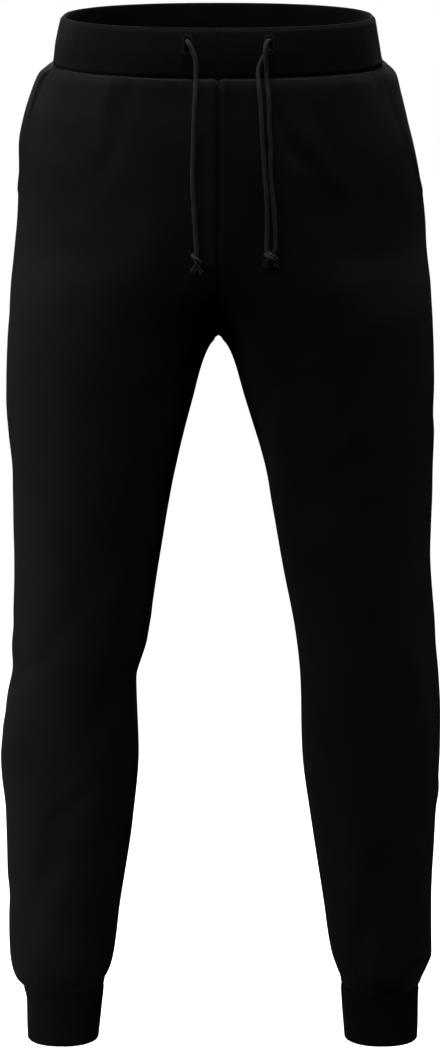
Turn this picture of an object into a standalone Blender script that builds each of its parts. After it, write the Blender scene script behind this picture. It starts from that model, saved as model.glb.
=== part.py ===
"""Jogger sweatpants in fleece-backed knit, filled out as if worn.

Metres, +Z up. The front faces -Y, so the wearer's right leg is at -X and the left leg at +X.
The origin is at the centre of the waistband, half-way up it.

One smooth surface runs from the rim of the waistband to the hems of the cuffs. It is worked out
from the STATIONS table, and each piece is a wall cut from it, 0.3 mm clear of its neighbours.
"""

import math

import bmesh
import bpy
import numpy as np
from mathutils import Vector

# Driving dimensions
SEAM_GAP = 0.0003
CLOTH_WALL = 0.002
BAND_WALL = 0.004
CUFF_WALL = 0.003
BAG_WALL = 0.0012
RIM_HEIGHT = 0.025
WAIST_SEAM = -0.022
CROTCH = -0.2935
CUFF_SEAM = -0.952
HEM = -1.008
WAIST_LEAN = 0.145  # the waist drops this much for each metre forwards
LEAN_ENDS = -0.25
FORK_RADIUS = 0.010  # rounding of the fork between the legs
FORK_ZONE = (-0.350, -0.210)  # heights between which the rows change length quickly
FORK_CROWDING = 6  # how near the inner seam the rows take up that change
EVEN_GIRTHS = {}

# Pocket mouth, a slant from the waist seam down to the side seam
MOUTH_WIDTH = 0.053
MOUTH_BOTTOM = -0.150
BAG_WIDTH = 0.150
BAG_BOTTOM = -0.250
BAG_CLEARANCE = 0.0015

# Drawcord
CORD_DIAMETER = 0.0045
EYELET_WIDTH = 0.0065
EYELET_TALL = 0.0155
EYELET_DEPTH = 0.003
EYELET_HEIGHT = -0.008
EYELET_X = {"right": -0.0295, "left": 0.0486}

# Half-widths of each leg's section at a height: the outer side and the inner side. Above the
# crotch the inner side lies past the middle, so that the centre seam cuts the section there.
# front, back and mid are the section's Y at its front, its back and its seams.
STATIONS = (
    # height, out_right, in_right, out_left, in_left, front,   back,    mid,   squareness
    (+0.025, 0.1550, -0.155, 0.1540, -0.154, -0.1120, 0.1125, 0.000, 2.25),
    (+0.000, 0.1600, -0.160, 0.1580, -0.158, -0.1145, 0.1150, 0.000, 2.22),
    (-0.022, 0.1640, -0.164, 0.1630, -0.163, -0.1165, 0.1180, 0.000, 2.20),
    (-0.033, 0.1775, -0.177, 0.1755, -0.175, -0.1200, 0.1240, 0.000, 2.20),
    (-0.050, 0.1855, -0.185, 0.1805, -0.180, -0.1225, 0.1290, 0.000, 2.25),
    (-0.075, 0.1930, -0.193, 0.1870, -0.187, -0.1240, 0.1330, 0.001, 2.30),
    (-0.105, 0.1980, -0.198, 0.1945, -0.194, -0.1245, 0.1370, 0.002, 2.32),
    (-0.150, 0.1990, -0.196, 0.2020, -0.196, -0.1240, 0.1410, 0.003, 2.34),
    (-0.200, 0.2030, -0.150, 0.2060, -0.150, -0.1215, 0.1400, 0.004, 2.34),
    (-0.240, 0.2070, -0.060, 0.2110, -0.060, -0.1180, 0.1350, 0.005, 2.32),
    (-0.270, 0.2090, -0.009, 0.2130, -0.009, -0.1145, 0.1300, 0.005, 2.30),
    (-0.2935, 0.2100, 0.010, 0.2140, 0.010, -0.1120, 0.1250, 0.005, 2.28),
    (-0.356, 0.2105, 0.028, 0.2150, 0.029, -0.1060, 0.1160, 0.004, 2.25),
    (-0.435, 0.2065, 0.0465, 0.2135, 0.050, -0.1000, 0.1060, 0.003, 2.22),
    (-0.515, 0.2055, 0.060, 0.2110, 0.064, -0.0920, 0.0960, 0.003, 2.20),
    (-0.590, 0.2075, 0.072, 0.2155, 0.078, -0.0840, 0.0885, 0.004, 2.18),
    (-0.637, 0.2120, 0.083, 0.2195, 0.083, -0.0790, 0.0880, 0.006, 2.16),
    (-0.710, 0.2175, 0.081, 0.2225, 0.085, -0.0700, 0.0930, 0.011, 2.14),
    (-0.780, 0.2155, 0.087, 0.2200, 0.094, -0.0620, 0.0945, 0.016, 2.14),
    (-0.866, 0.2140, 0.100, 0.2170, 0.107, -0.0500, 0.0890, 0.019, 2.14),
    (-0.918, 0.2125, 0.107, 0.2175, 0.115, -0.0430, 0.0820, 0.020, 2.14),
    (-0.933, 0.2105, 0.111, 0.2120, 0.120, -0.0400, 0.0780, 0.020, 2.14),
    (-0.944, 0.2060, 0.116, 0.2070, 0.124, -0.0340, 0.0725, 0.020, 2.14),
    (-0.952, 0.1995, 0.117, 0.2045, 0.125, -0.0275, 0.0665, 0.020, 2.12),
    (-0.970, 0.1955, 0.119, 0.2035, 0.126, -0.0240, 0.0630, 0.020, 2.10),
    (-1.008, 0.1945, 0.123, 0.2025, 0.129, -0.0230, 0.0620, 0.020, 2.10),
)
COLUMNS = ("height", "out_right", "in_right", "out_left", "in_left", "front", "back", "mid", "squareness")

# The largest folds: a soft ridge (+) or trough (-) laid on one leg. around is the place round the
# leg, 0 at the side seam, +1 at the front's inner seam and -1 at the back's. slant turns the fold's
# length from level (0 degrees) to upright (90), rising towards the inner seam.
FOLDS = (
    # side,  around, height, length, width, depth,  slant
    ("right", +0.86, -0.600, 0.110, 0.026, +0.0040, 80),
    ("right", +0.70, -0.655, 0.090, 0.030, -0.0040, 25),
    ("right", -0.45, -0.640, 0.130, 0.030, -0.0060, 12),
    ("right", -0.55, -0.690, 0.110, 0.028, -0.0050, -10),
    ("right", +0.40, -0.830, 0.160, 0.034, -0.0035, 62),
    ("right", -0.50, -0.880, 0.100, 0.028, -0.0045, 15),
    ("left", +0.80, -0.360, 0.160, 0.034, -0.0040, -50),
    ("left", +0.28, -0.665, 0.110, 0.030, +0.0035, 75),
    ("left", -0.50, -0.650, 0.130, 0.030, -0.0060, -14),
    ("left", -0.42, -0.705, 0.100, 0.026, -0.0050, 10),
    ("left", +0.55, -0.860, 0.150, 0.032, -0.0035, -60),
    ("left", -0.45, -0.890, 0.100, 0.028, -0.0045, -12),
)

# Free ends of the drawcord, from the eyelet down: place on the front and how far in front of the
# cloth the cord's middle lies.
CORD_ROUTES = {
    "drawcord_right": (
        # x,      height,  lift
        (-0.0300, -0.0040, -0.0016),
        (-0.0295, -0.0045, +0.0020),
        (-0.0280, -0.0070, +0.0042),
        (-0.0256, -0.0115, +0.0046),
        (-0.0228, -0.0190, +0.0042),
        (-0.0215, -0.0270, +0.0040),
        (-0.0216, -0.0400, +0.0038),
        (-0.0222, -0.0560, +0.0036),
        (-0.0232, -0.0740, +0.0036),
        (-0.0238, -0.0940, +0.0036),
        (-0.0242, -0.1140, +0.0036),
        (-0.0248, -0.1360, +0.0036),
        (-0.0240, -0.1540, +0.0036),
        (-0.0230, -0.1720, +0.0036),
        (-0.0218, -0.1900, +0.0038),
        (-0.0210, -0.2060, +0.0044),
    ),
    "drawcord_left": (
        (0.0490, -0.0040, -0.0016),
        (0.0487, -0.0036, +0.0024),
        (0.0472, -0.0040, +0.0062),
        (0.0454, -0.0078, +0.0094),
        (0.0447, -0.0140, +0.0100),
        (0.0450, -0.0205, +0.0090),
        (0.0456, -0.0280, +0.0066),
        (0.0460, -0.0350, +0.0048),
        (0.0463, -0.0440, +0.0040),
        (0.0478, -0.0570, +0.0038),
        (0.0483, -0.0740, +0.0038),
        (0.0484, -0.0880, +0.0038),
        (0.0498, -0.1020, +0.0038),
        (0.0498, -0.1170, +0.0038),
        (0.0500, -0.1340, +0.0038),
        (0.0520, -0.1540, +0.0038),
        (0.0538, -0.1730, +0.0038),
        (0.0546, -0.1900, +0.0040),
        (0.0546, -0.2035, +0.0046),
    ),
    "drawcord_left_return": (
        (0.0486, -0.0118, -0.0016),
        (0.0485, -0.0120, +0.0016),
        (0.0472, -0.0136, +0.0038),
        (0.0444, -0.0172, +0.0036),
        (0.0412, -0.0225, +0.0034),
        (0.0390, -0.0285, +0.0034),
        (0.0380, -0.0350, +0.0036),
        (0.0386, -0.0480, +0.0036),
        (0.0402, -0.0640, +0.0036),
        (0.0412, -0.0820, +0.0036),
        (0.0420, -0.1000, +0.0036),
        (0.0432, -0.1160, +0.0036),
        (0.0444, -0.1320, +0.0036),
        (0.0458, -0.1480, +0.0036),
        (0.0466, -0.1660, +0.0036),
        (0.0466, -0.1820, +0.0038),
        (0.0462, -0.2035, +0.0046),
    ),
}

KNOTS = (
    # name,       x,       height,   lift,   width,  thickness, tall
    ("knot_right", -0.0205, -0.2173, 0.0064, 0.0125, 0.0095, 0.0220),
    ("knot_left", 0.0504, -0.2109, 0.0060, 0.0170, 0.0090, 0.0140),
)

# A panel is one piece of cloth. Its wall is built in these stretches, so that each is a simple half
# tube that leaves the leg's hollow open.
STRETCHES = (
    # name,  top,                       bottom
    ("hip", WAIST_SEAM - SEAM_GAP / 2, -0.2000),
    ("fork", -0.2000, -0.3500),
    ("thigh", -0.3500, -0.6450),
    ("shin", -0.6450, CUFF_SEAM + SEAM_GAP / 2),
)

# How finely the walls are faceted
QUARTER_STEPS = 9  # across one panel
OUTLINE_STEPS = 97
ROW_CLEARANCE = 0.003  # no row this near a stretch's end
CORD_SIDES_RESOLUTION = 2
CURL_LENGTH = 0.034  # the tight bend of a cord out of its eyelet
CURL_POINT_STEP = 0.55  # diameters between a cord's points along that bend
CORD_POINT_STEP = 2.4  # the same along the rest


def column(name):
    return np.array([row[COLUMNS.index(name)] for row in STATIONS])


def steady_curve(x, knots_x, knots_y):
    """Smooth curve through the table's values that never overshoots them."""
    order = np.argsort(knots_x)
    kx, ky = knots_x[order], knots_y[order]
    step = np.diff(kx)
    slope = np.diff(ky) / step
    tangent = np.zeros_like(kx)
    same_way = slope[:-1] * slope[1:] > 0
    weight_a, weight_b = 2 * step[1:] + step[:-1], step[1:] + 2 * step[:-1]
    safe = np.where(same_way, slope[:-1] * slope[1:], 1.0)
    mean = safe * (weight_a + weight_b) / np.where(same_way, weight_a * slope[1:] + weight_b * slope[:-1], 1.0)
    tangent[1:-1] = np.where(same_way, mean, 0.0)
    tangent[0], tangent[-1] = slope[0], slope[-1]
    x = np.clip(x, kx[0], kx[-1])
    i = np.clip(np.searchsorted(kx, x) - 1, 0, len(step) - 1)
    t = (x - kx[i]) / step[i]
    return (
        (1 + 2 * t) * (1 - t) ** 2 * ky[i]
        + t * (1 - t) ** 2 * step[i] * tangent[i]
        + t * t * (3 - 2 * t) * ky[i + 1]
        + t * t * (t - 1) * step[i] * tangent[i + 1]
    )


def at_height(name, height):
    return float(steady_curve(np.array([height]), column("height"), column(name))[0])


def smooth_step(t):
    t = np.clip(t, 0.0, 1.0)
    return t * t * (3 - 2 * t)


def lean(height):
    return WAIST_LEAN * float(smooth_step((height - LEAN_ENDS) / (WAIST_SEAM - LEAN_ENDS)))


def outline(side, face, height):
    """Half a section, front or back, as points from the side seam to the inner seam, with lengths."""
    outer, inner = at_height("out_" + side, height), at_height("in_" + side, height)
    middle, half = (outer + inner) / 2, (outer - inner) / 2
    mid, power = at_height("mid", height), 2 / at_height("squareness", height)
    end = math.pi
    if inner < FORK_RADIUS:
        reach = (FORK_RADIUS - middle) / half
        end = math.acos(math.copysign(abs(reach) ** (1 / power), reach))
    angle = np.linspace(0, end, OUTLINE_STEPS)
    across = middle + half * np.sign(np.cos(angle)) * np.abs(np.cos(angle)) ** power
    x = np.sqrt(np.maximum(across**2 - FORK_RADIUS**2, 0)) * (1 if side == "left" else -1)
    y = mid + (at_height(face, height) - mid) * np.abs(np.sin(angle)) ** power
    length = np.concatenate([[0], np.cumsum(np.hypot(np.diff(x), np.diff(y)))])
    return x, y, length


def half_girth(side, face, height):
    return outline(side, face, height)[2][-1]


def even_girth(side, face, height):
    """Half girth that runs evenly past the fork, so that the cloth's upright lines stay smooth there."""
    if (side, face) not in EVEN_GIRTHS:
        levels = [h for h in column("height") if not FORK_ZONE[0] < h < FORK_ZONE[1]]
        EVEN_GIRTHS[side, face] = (np.array(levels), np.array([half_girth(side, face, h) for h in levels]))
    return float(steady_curve(np.array([height]), *EVEN_GIRTHS[side, face])[0])


def bare_point(side, face, height, fraction):
    x, y, length = outline(side, face, height)
    share = np.clip(fraction, 0, 1)
    even = even_girth(side, face, height)
    along = share * even + (length[-1] - even) * share**FORK_CROWDING
    px, py = np.interp(along, length, x), np.interp(along, length, y)
    return np.stack([px, py, height + lean(height) * py], axis=-1)


def normal(side, face, height, fraction):
    """Unit vectors that point out of the garment."""
    step_f, step_h = 0.004, 0.0004
    low, high = np.clip(fraction - step_f, 0, 1), np.clip(fraction + step_f, 0, 1)
    inward = bare_point(side, face, height, high) - bare_point(side, face, height, low)
    up = bare_point(side, face, height + step_h, fraction) - bare_point(side, face, height - step_h, fraction)
    turned = np.cross(up, inward) * (1 if (side == "left") == (face == "front") else -1)
    if height >= CROTCH:
        turned[np.asarray(fraction) > 1 - step_f / 4, 0] = 0.0
    return turned / np.linalg.norm(turned, axis=-1, keepdims=True)


def fold_height(side, face, height, fraction):
    """How far the folds lift the cloth out of the plain surface."""
    girth = at_height("out_" + side, height) * 1.6
    around = np.asarray(fraction) * (1 if face == "front" else -1)
    lifted = np.zeros_like(around)
    for fold_side, place, level, length, width, depth, slant in FOLDS:
        if fold_side != side:
            continue
        sideways = around - place
        if height < FORK_ZONE[0]:
            sideways = (sideways + 1) % 2 - 1
        across, up = sideways * girth, height - level
        turn = math.radians(slant)
        along = across * math.cos(turn) + up * math.sin(turn)
        off = up * math.cos(turn) - across * math.sin(turn)
        lifted += depth * np.exp(-((off / width) ** 2) * 2) * smooth_step(1.5 - np.abs(along) * 2 / length)
    return lifted


def skin(side, face, height, fraction, depth=0.0):
    """Points of the garment's surface at a height, moved inwards by depth."""
    fraction = np.asarray(fraction, float)
    out = fold_height(side, face, height, fraction)[..., None] - np.asarray(depth)[..., None]
    return bare_point(side, face, height, fraction) + normal(side, face, height, fraction) * out


def mouth_width(height):
    """How far forward of the side seam the pocket mouth lies, along the cloth."""
    drop = (WAIST_SEAM - height) / (WAIST_SEAM - MOUTH_BOTTOM)
    return MOUTH_WIDTH * math.sqrt(max(0.0, 1 - max(0.0, drop) ** 2.6))


def front_y(x, height):
    """Y of the garment's front at a place seen from the front."""
    side = "left" if x > 0 else "right"
    y = at_height("front", height)
    for _ in range(6):
        row = height - lean(height) * y
        xs, ys, _ = outline(side, "front", row)
        y = float(np.interp(abs(x), np.abs(xs)[::-1], ys[::-1]))
    return y


def body_heights():
    """Heights of the panels' rows, closer together under the waistband, at the fork and at the ankle."""
    top = WAIST_SEAM - SEAM_GAP
    yoke = [top, -0.033, -0.048, -0.070, -0.096, -0.120, -0.136, -0.145, MOUTH_BOTTOM, -0.175, -0.203]
    fork = [CROTCH + 0.072 * k**1.7 for k in (0.9, 0.72, 0.54, 0.38, 0.25, 0.12)]
    thigh = [CROTCH - 0.080 * k**1.6 for k in (0.0, 0.14, 0.32, 0.55, 0.8, 1.05)]
    leg = [-0.415, -0.455, -0.500, -0.545, -0.580, -0.608, -0.636, -0.664, -0.695, -0.730, -0.770, -0.810]
    ankle = [-0.848, -0.880, -0.905, -0.923, -0.936, -0.946, CUFF_SEAM + SEAM_GAP]
    return yoke + fork + thigh + leg + ankle


def wall_object(name, outer, inner, material):
    """A closed wall between two grids of points, rows by columns, that lie over each other."""
    mesh = bmesh.new()
    rows, cols = outer.shape[:2]
    skins = [[[mesh.verts.new(p) for p in row] for row in grid] for grid in (outer, inner)]
    for r in range(rows - 1):
        for c in range(cols - 1):
            for s, grid in enumerate(skins):
                loop = [grid[r][c], grid[r + 1][c], grid[r + 1][c + 1], grid[r][c + 1]]
                mesh.faces.new(loop if s == 0 else loop[::-1])
    around = [(0, c) for c in range(cols)] + [(r, cols - 1) for r in range(1, rows)]
    around += [(rows - 1, c) for c in range(cols - 2, -1, -1)] + [(r, 0) for r in range(rows - 2, 0, -1)]
    for (r0, c0), (r1, c1) in zip(around, around[1:] + around[:1]):
        mesh.faces.new([skins[0][r0][c0], skins[0][r1][c1], skins[1][r1][c1], skins[1][r0][c0]])
    return finished(name, mesh, material)


def ring_object(name, loops, material):
    """A closed band from loops of points that go round a hollow, each loop joined to the next."""
    mesh = bmesh.new()
    rings = [[mesh.verts.new(p) for p in loop] for loop in loops]
    for ring, following in zip(rings, rings[1:] + rings[:1]):
        for k in range(len(ring)):
            n = (k + 1) % len(ring)
            mesh.faces.new([ring[k], ring[n], following[n], following[k]])
    return finished(name, mesh, material)


def finished(name, mesh, material):
    bmesh.ops.triangulate(mesh, faces=mesh.faces)
    bmesh.ops.recalc_face_normals(mesh, faces=mesh.faces)
    data = bpy.data.meshes.new(name)
    mesh.to_mesh(data)
    mesh.free()
    data.shade_smooth()
    data.set_sharp_from_angle(angle=math.radians(50))
    data.materials.append(material)
    made = bpy.data.objects.new(name, data)
    GARMENT.objects.link(made)
    return made


def plain_material(name, colour, roughness):
    material = bpy.data.materials.new(name)
    material.use_nodes = True
    shader = material.node_tree.nodes["Principled BSDF"]
    shader.inputs["Base Color"].default_value = (*colour, 1)
    shader.inputs["Roughness"].default_value = roughness
    shader.inputs["Metallic"].default_value = 0.0
    return material


def edge_share(side, face, height):
    """Half the seam gap, as a share of the row's length."""
    return SEAM_GAP / 2 / half_girth(side, face, height)


def make_panel(side, face, stretch, top, bottom, material):
    outer, inner = [], []
    rows = [h for h in body_heights() if bottom + ROW_CLEARANCE < h < top - ROW_CLEARANCE]
    for height in [top - SEAM_GAP / 2] + rows + [bottom + SEAM_GAP / 2]:
        share = edge_share(side, face, height)
        start = share
        if face == "front" and height > MOUTH_BOTTOM:
            start = max(share, mouth_width(height) / half_girth(side, face, height))
        fraction = np.linspace(start, 1 - share, QUARTER_STEPS + 1)
        outer.append(skin(side, face, height, fraction))
        inner.append(skin(side, face, height, fraction, CLOTH_WALL))
    return wall_object(f"{face}_{side}_{stretch}", np.array(outer), np.array(inner), material)


def make_pocket(side, material):
    """Facing and bag in one: level with the cloth at the side seam, and under the front from the mouth on."""
    under = CLOTH_WALL + BAG_CLEARANCE
    top = WAIST_SEAM - SEAM_GAP
    rows = [h for h in body_heights() if h > BAG_BOTTOM]
    outer, inner = [], []
    for height in rows:
        girth = half_girth(side, "front", height)
        drop = (top - height) / (top - BAG_BOTTOM)
        width = BAG_WIDTH * math.sqrt(max(0.0, 1 - drop**6))
        mouth = mouth_width(height)
        shut = 1 - float(smooth_step(mouth / 0.020))  # 1 where the mouth has closed
        start = SEAM_GAP / 2 + 0.004 * shut
        facing = start + max(mouth - start, 0.012) * np.array([0.0, 0.3, 0.6, 0.85])
        bag = np.linspace(max(mouth, facing[-1]) + 0.010, width, 5)
        distance = np.concatenate([facing, bag])
        level = under * np.maximum(shut, smooth_step(distance / max(0.8 * mouth, 0.001)))
        outer.append(skin(side, "front", height, distance / girth, level))
        inner.append(skin(side, "front", height, distance / girth, level + BAG_WALL))
    return wall_object(f"pocket_{side}", np.array(outer), np.array(inner), material)


def waist_loop(height, depth):
    """Points once round the waist at a height, moved inwards by depth."""
    share = np.linspace(0, 1, 14)
    right_front = skin("right", "front", height, share[::-1], depth)
    right_back = skin("right", "back", height, share[1:], depth)
    left_back = skin("left", "back", height, share[::-1][1:], depth)
    left_front = skin("left", "front", height, share[1:-1], depth)
    return np.concatenate([right_front, right_back, left_back, left_front])


def ankle_loop(side, height, depth):
    """Points once round a cuff at a height, moved inwards by depth."""
    share = np.linspace(0, 1, 9)
    front = skin(side, "front", height, share, depth)
    back = skin(side, "back", height, share[::-1][1:-1], depth)
    return np.concatenate([front, back])


def make_waistband(material):
    soft = BAND_WALL / 4
    section = (
        (WAIST_SEAM, 0.0),
        (-0.006, -0.0004),
        (0.010, -0.0004),
        (RIM_HEIGHT - soft * 1.5, 0.0),
        (RIM_HEIGHT, soft),
        (RIM_HEIGHT, BAND_WALL - soft),
        (RIM_HEIGHT - soft * 1.5, BAND_WALL),
        (0.002, BAND_WALL),
        (WAIST_SEAM, BAND_WALL),
    )
    band = ring_object("waistband", [waist_loop(h, d) for h, d in section], material)
    for side, x in EYELET_X.items():
        cutter = eyelet_cutter(side, x)
        cut = band.modifiers.new("eyelet_" + side, "BOOLEAN")
        cut.operation = "DIFFERENCE"
        cut.solver = "EXACT"
        cut.object = cutter
    return band


def eyelet_cutter(side, x):
    """An upright buttonhole with round ends."""
    length = 0.02
    mesh = bmesh.new()
    radius = EYELET_WIDTH / 2
    bmesh.ops.create_cone(mesh, cap_ends=True, segments=12, radius1=radius, radius2=radius, depth=length)
    for vert in mesh.verts:
        if abs(vert.co.y) > radius * 0.01:
            vert.co.y += math.copysign((EYELET_TALL - EYELET_WIDTH) / 2, vert.co.y)
    data = bpy.data.meshes.new("eyelet_cutter_" + side)
    mesh.to_mesh(data)
    mesh.free()
    cutter = bpy.data.objects.new("eyelet_cutter_" + side, data)
    CUTTERS.objects.link(cutter)
    floor = front_y(x, EYELET_HEIGHT) + EYELET_DEPTH
    cutter.location = (x, floor - length / 2, EYELET_HEIGHT)
    cutter.rotation_euler = (math.radians(90), 0, 0)
    cutter.hide_render = True
    cutter.display_type = "WIRE"
    return cutter


def make_cuff(side, material):
    soft = CUFF_WALL / 3
    top = CUFF_SEAM - SEAM_GAP
    section = (
        (top, 0.0),
        (-0.972, 0.0),
        (-0.990, 0.0),
        (HEM + soft * 1.5, 0.0),
        (HEM, soft),
        (HEM, CUFF_WALL - soft),
        (HEM + soft * 1.5, CUFF_WALL),
        (-0.980, CUFF_WALL),
        (top, CUFF_WALL),
    )
    return ring_object("cuff_" + side, [ankle_loop(side, h, d) for h, d in section], material)


def smooth_route(points):
    """Points at even steps along a smooth curve through the route."""
    places = np.array(points)
    padded = np.vstack([2 * places[0] - places[1], places, 2 * places[-1] - places[-2]])
    fine = []
    for k in range(1, len(padded) - 2):
        a, b, c, d = padded[k - 1 : k + 3]
        for t in np.linspace(0, 1, 24, endpoint=False):
            fine.append(
                0.5 * (2 * b + (c - a) * t + (2 * a - 5 * b + 4 * c - d) * t**2 + (3 * b - a - 3 * c + d) * t**3)
            )
    fine = np.array(fine + [places[-1]])
    length = np.concatenate([[0], np.cumsum(np.linalg.norm(np.diff(fine, axis=0), axis=1))])
    curl = np.arange(0, CURL_LENGTH, CURL_POINT_STEP * CORD_DIAMETER)
    count = round((length[-1] - CURL_LENGTH) / (CORD_POINT_STEP * CORD_DIAMETER))
    marks = np.concatenate([curl, np.linspace(CURL_LENGTH, length[-1], count + 1)])
    return np.stack([np.interp(marks, length, fine[:, k]) for k in range(3)], axis=1)


def make_cord(name, material):
    route = [(x, front_y(x, z) - lift, z) for x, z, lift in CORD_ROUTES[name]]
    points = smooth_route(route)
    curve = bpy.data.curves.new(name, "CURVE")
    curve.dimensions = "3D"
    curve.bevel_depth = CORD_DIAMETER / 2
    curve.bevel_resolution = CORD_SIDES_RESOLUTION
    curve.use_fill_caps = True
    spline = curve.splines.new("POLY")
    spline.points.add(len(points) - 1)
    for place, point in zip(spline.points, points):
        place.co = (*point, 1)
    curve.materials.append(material)
    made = bpy.data.objects.new(name, curve)
    GARMENT.objects.link(made)
    return made


def make_knot(name, x, height, lift, width, thickness, tall, material):
    mesh = bmesh.new()
    bmesh.ops.create_cube(mesh, size=1.0)
    bmesh.ops.scale(mesh, vec=Vector((width, thickness, tall)), verts=mesh.verts)
    data = bpy.data.meshes.new(name)
    mesh.to_mesh(data)
    mesh.free()
    data.shade_smooth()
    data.materials.append(material)
    made = bpy.data.objects.new(name, data)
    made.location = (x, front_y(x, height) - lift, height)
    bevel = made.modifiers.new("rounded", "BEVEL")
    bevel.width = thickness * 0.42
    bevel.segments = 4
    GARMENT.objects.link(made)
    return made


for existing in list(bpy.data.objects):
    bpy.data.objects.remove(existing)
GARMENT = bpy.data.collections.new("jogger_sweatpants")
CUTTERS = bpy.data.collections.new("cutters")
bpy.context.scene.collection.children.link(GARMENT)
bpy.context.scene.collection.children.link(CUTTERS)

fleece = plain_material("black_fleece_knit", (0.006, 0.006, 0.007), 0.9)
rib = plain_material("black_rib_knit", (0.006, 0.006, 0.007), 0.88)
pocketing = plain_material("black_pocket_jersey", (0.007, 0.007, 0.008), 0.9)
cord = plain_material("black_braided_cord", (0.050, 0.050, 0.052), 0.75)

make_waistband(rib)
for leg in ("right", "left"):
    for panel_face in ("front", "back"):
        for stretch_name, stretch_top, stretch_bottom in STRETCHES:
            make_panel(leg, panel_face, stretch_name, stretch_top, stretch_bottom, fleece)
    make_pocket(leg, pocketing)
    make_cuff(leg, rib)
for cord_name in CORD_ROUTES:
    make_cord(cord_name, cord)
for knot in KNOTS:
    make_knot(*knot, cord)
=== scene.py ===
"""Black jogger sweatpants in fleece-backed knit, filled out as if worn: the looks.

Metres, +Z up. The front faces -Y, so the wearer's right leg is at -X. The sections follow the
garment as it is sewn: cord, waistband, fronts, backs, pockets, cuffs and stitching.
"""

import math

import bmesh
import bpy
import numpy as np
from mathutils import Matrix, Vector


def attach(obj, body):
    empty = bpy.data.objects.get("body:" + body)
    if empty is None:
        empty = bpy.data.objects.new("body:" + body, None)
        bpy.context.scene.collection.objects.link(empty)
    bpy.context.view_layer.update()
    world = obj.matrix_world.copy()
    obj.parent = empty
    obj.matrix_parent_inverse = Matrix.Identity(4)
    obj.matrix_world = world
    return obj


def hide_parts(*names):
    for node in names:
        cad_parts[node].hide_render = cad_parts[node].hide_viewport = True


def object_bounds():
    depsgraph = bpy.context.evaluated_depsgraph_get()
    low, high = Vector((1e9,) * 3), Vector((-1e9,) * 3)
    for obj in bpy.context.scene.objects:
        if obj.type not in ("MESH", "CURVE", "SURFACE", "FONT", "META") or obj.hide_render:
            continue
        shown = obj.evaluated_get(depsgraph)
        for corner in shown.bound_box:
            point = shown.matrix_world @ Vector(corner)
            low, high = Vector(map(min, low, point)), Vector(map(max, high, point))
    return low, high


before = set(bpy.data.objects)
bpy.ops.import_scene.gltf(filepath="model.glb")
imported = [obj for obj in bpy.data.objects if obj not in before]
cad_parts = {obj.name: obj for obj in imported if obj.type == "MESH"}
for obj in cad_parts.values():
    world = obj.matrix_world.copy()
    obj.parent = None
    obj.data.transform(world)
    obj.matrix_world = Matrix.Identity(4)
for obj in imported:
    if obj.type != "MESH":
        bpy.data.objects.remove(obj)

cad_low, cad_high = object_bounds()

# ---------------------------------------------------------------------------------------------
# Camera and studio: a long lens straight in front and a little above. Tall soft lamps stand at the
# viewer's left, weaker ones in front and at the right, one overhead and one behind. The floor is
# plain and pale, under a white room.
# ---------------------------------------------------------------------------------------------
CAMERA_DISTANCE = 3.6
CAMERA_TILT = math.radians(6.0)
CAMERA_TARGET = Vector((0.0015, 0.0, -0.480))
FRAME_SPAN = 1.049  # metres that the frame's height takes in at the target
SENSOR_HEIGHT = 24.0  # millimetres

camera_data = bpy.data.cameras.new("studio_camera")
camera_data.sensor_fit = "VERTICAL"
camera_data.sensor_height = SENSOR_HEIGHT
camera_data.lens = SENSOR_HEIGHT * CAMERA_DISTANCE / FRAME_SPAN
camera_data.clip_end = 60.0
camera = bpy.data.objects.new("studio_camera", camera_data)
bpy.context.scene.collection.objects.link(camera)
towards_camera = Vector((0, -math.cos(CAMERA_TILT), math.sin(CAMERA_TILT)))
camera.location = CAMERA_TARGET + CAMERA_DISTANCE * towards_camera
camera.rotation_euler = (math.radians(90) - CAMERA_TILT, 0, 0)
bpy.context.scene.camera = camera


def soft_lamp(name, place, aim, width, height, watts, spread=180):
    """A rectangular soft box at a place, turned to face a point. A grid narrows its spread, in degrees."""
    data = bpy.data.lights.new(name, "AREA")
    data.shape = "RECTANGLE"
    data.size, data.size_y = width, height
    data.energy = watts
    data.spread = math.radians(spread)
    lamp = bpy.data.objects.new(name, data)
    lamp.location = place
    lamp.rotation_euler = (Vector(aim) - Vector(place)).to_track_quat("-Z", "Y").to_euler()
    bpy.context.scene.collection.objects.link(lamp)


soft_lamp("key_lamp", (-1.50, -0.16, 0.30), (-0.15, 0.0, -0.40), 0.3, 0.9, 11)
soft_lamp("side_lamp", (-1.35, -0.90, 0.10), (-0.463, 0.05, -0.45), 0.3, 0.9, 1.7, spread=40)
soft_lamp("fill_lamp", (-1.10, -1.25, 0.35), (-0.70, 0.10, -0.40), 0.5, 0.9, 0.8, spread=80)
soft_lamp("edge_lamp", (1.45, -0.45, 0.05), (0.60, 0.35, -0.60), 0.35, 0.9, 2.8, spread=80)
soft_lamp("front_lamp", (-0.10, -1.15, 0.70), (0.0, 0.0, -0.15), 0.6, 0.4, 2.3, spread=140)
soft_lamp("top_lamp", (-0.03, -0.16, 1.35), (0.0, -0.10, 0.0), 0.45, 0.25, 15, spread=150)
soft_lamp("low_lamp", (-0.75, -1.00, -1.02), (-0.20, 0.0, -1.0), 0.3, 0.2, 0.6, spread=60)
soft_lamp("back_lamp", (0.0, 1.70, 0.95), (0.0, 0.0, -0.45), 0.9, 0.7, 24)

# The room is white to look at, and dim as a light, so that the lamps shape the black cloth.
ROOM_GLOW = 0.008
FLOOR_DROP = 0.055  # how far under the hems the floor lies
FLOOR_RADIUS = 14.0

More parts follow.
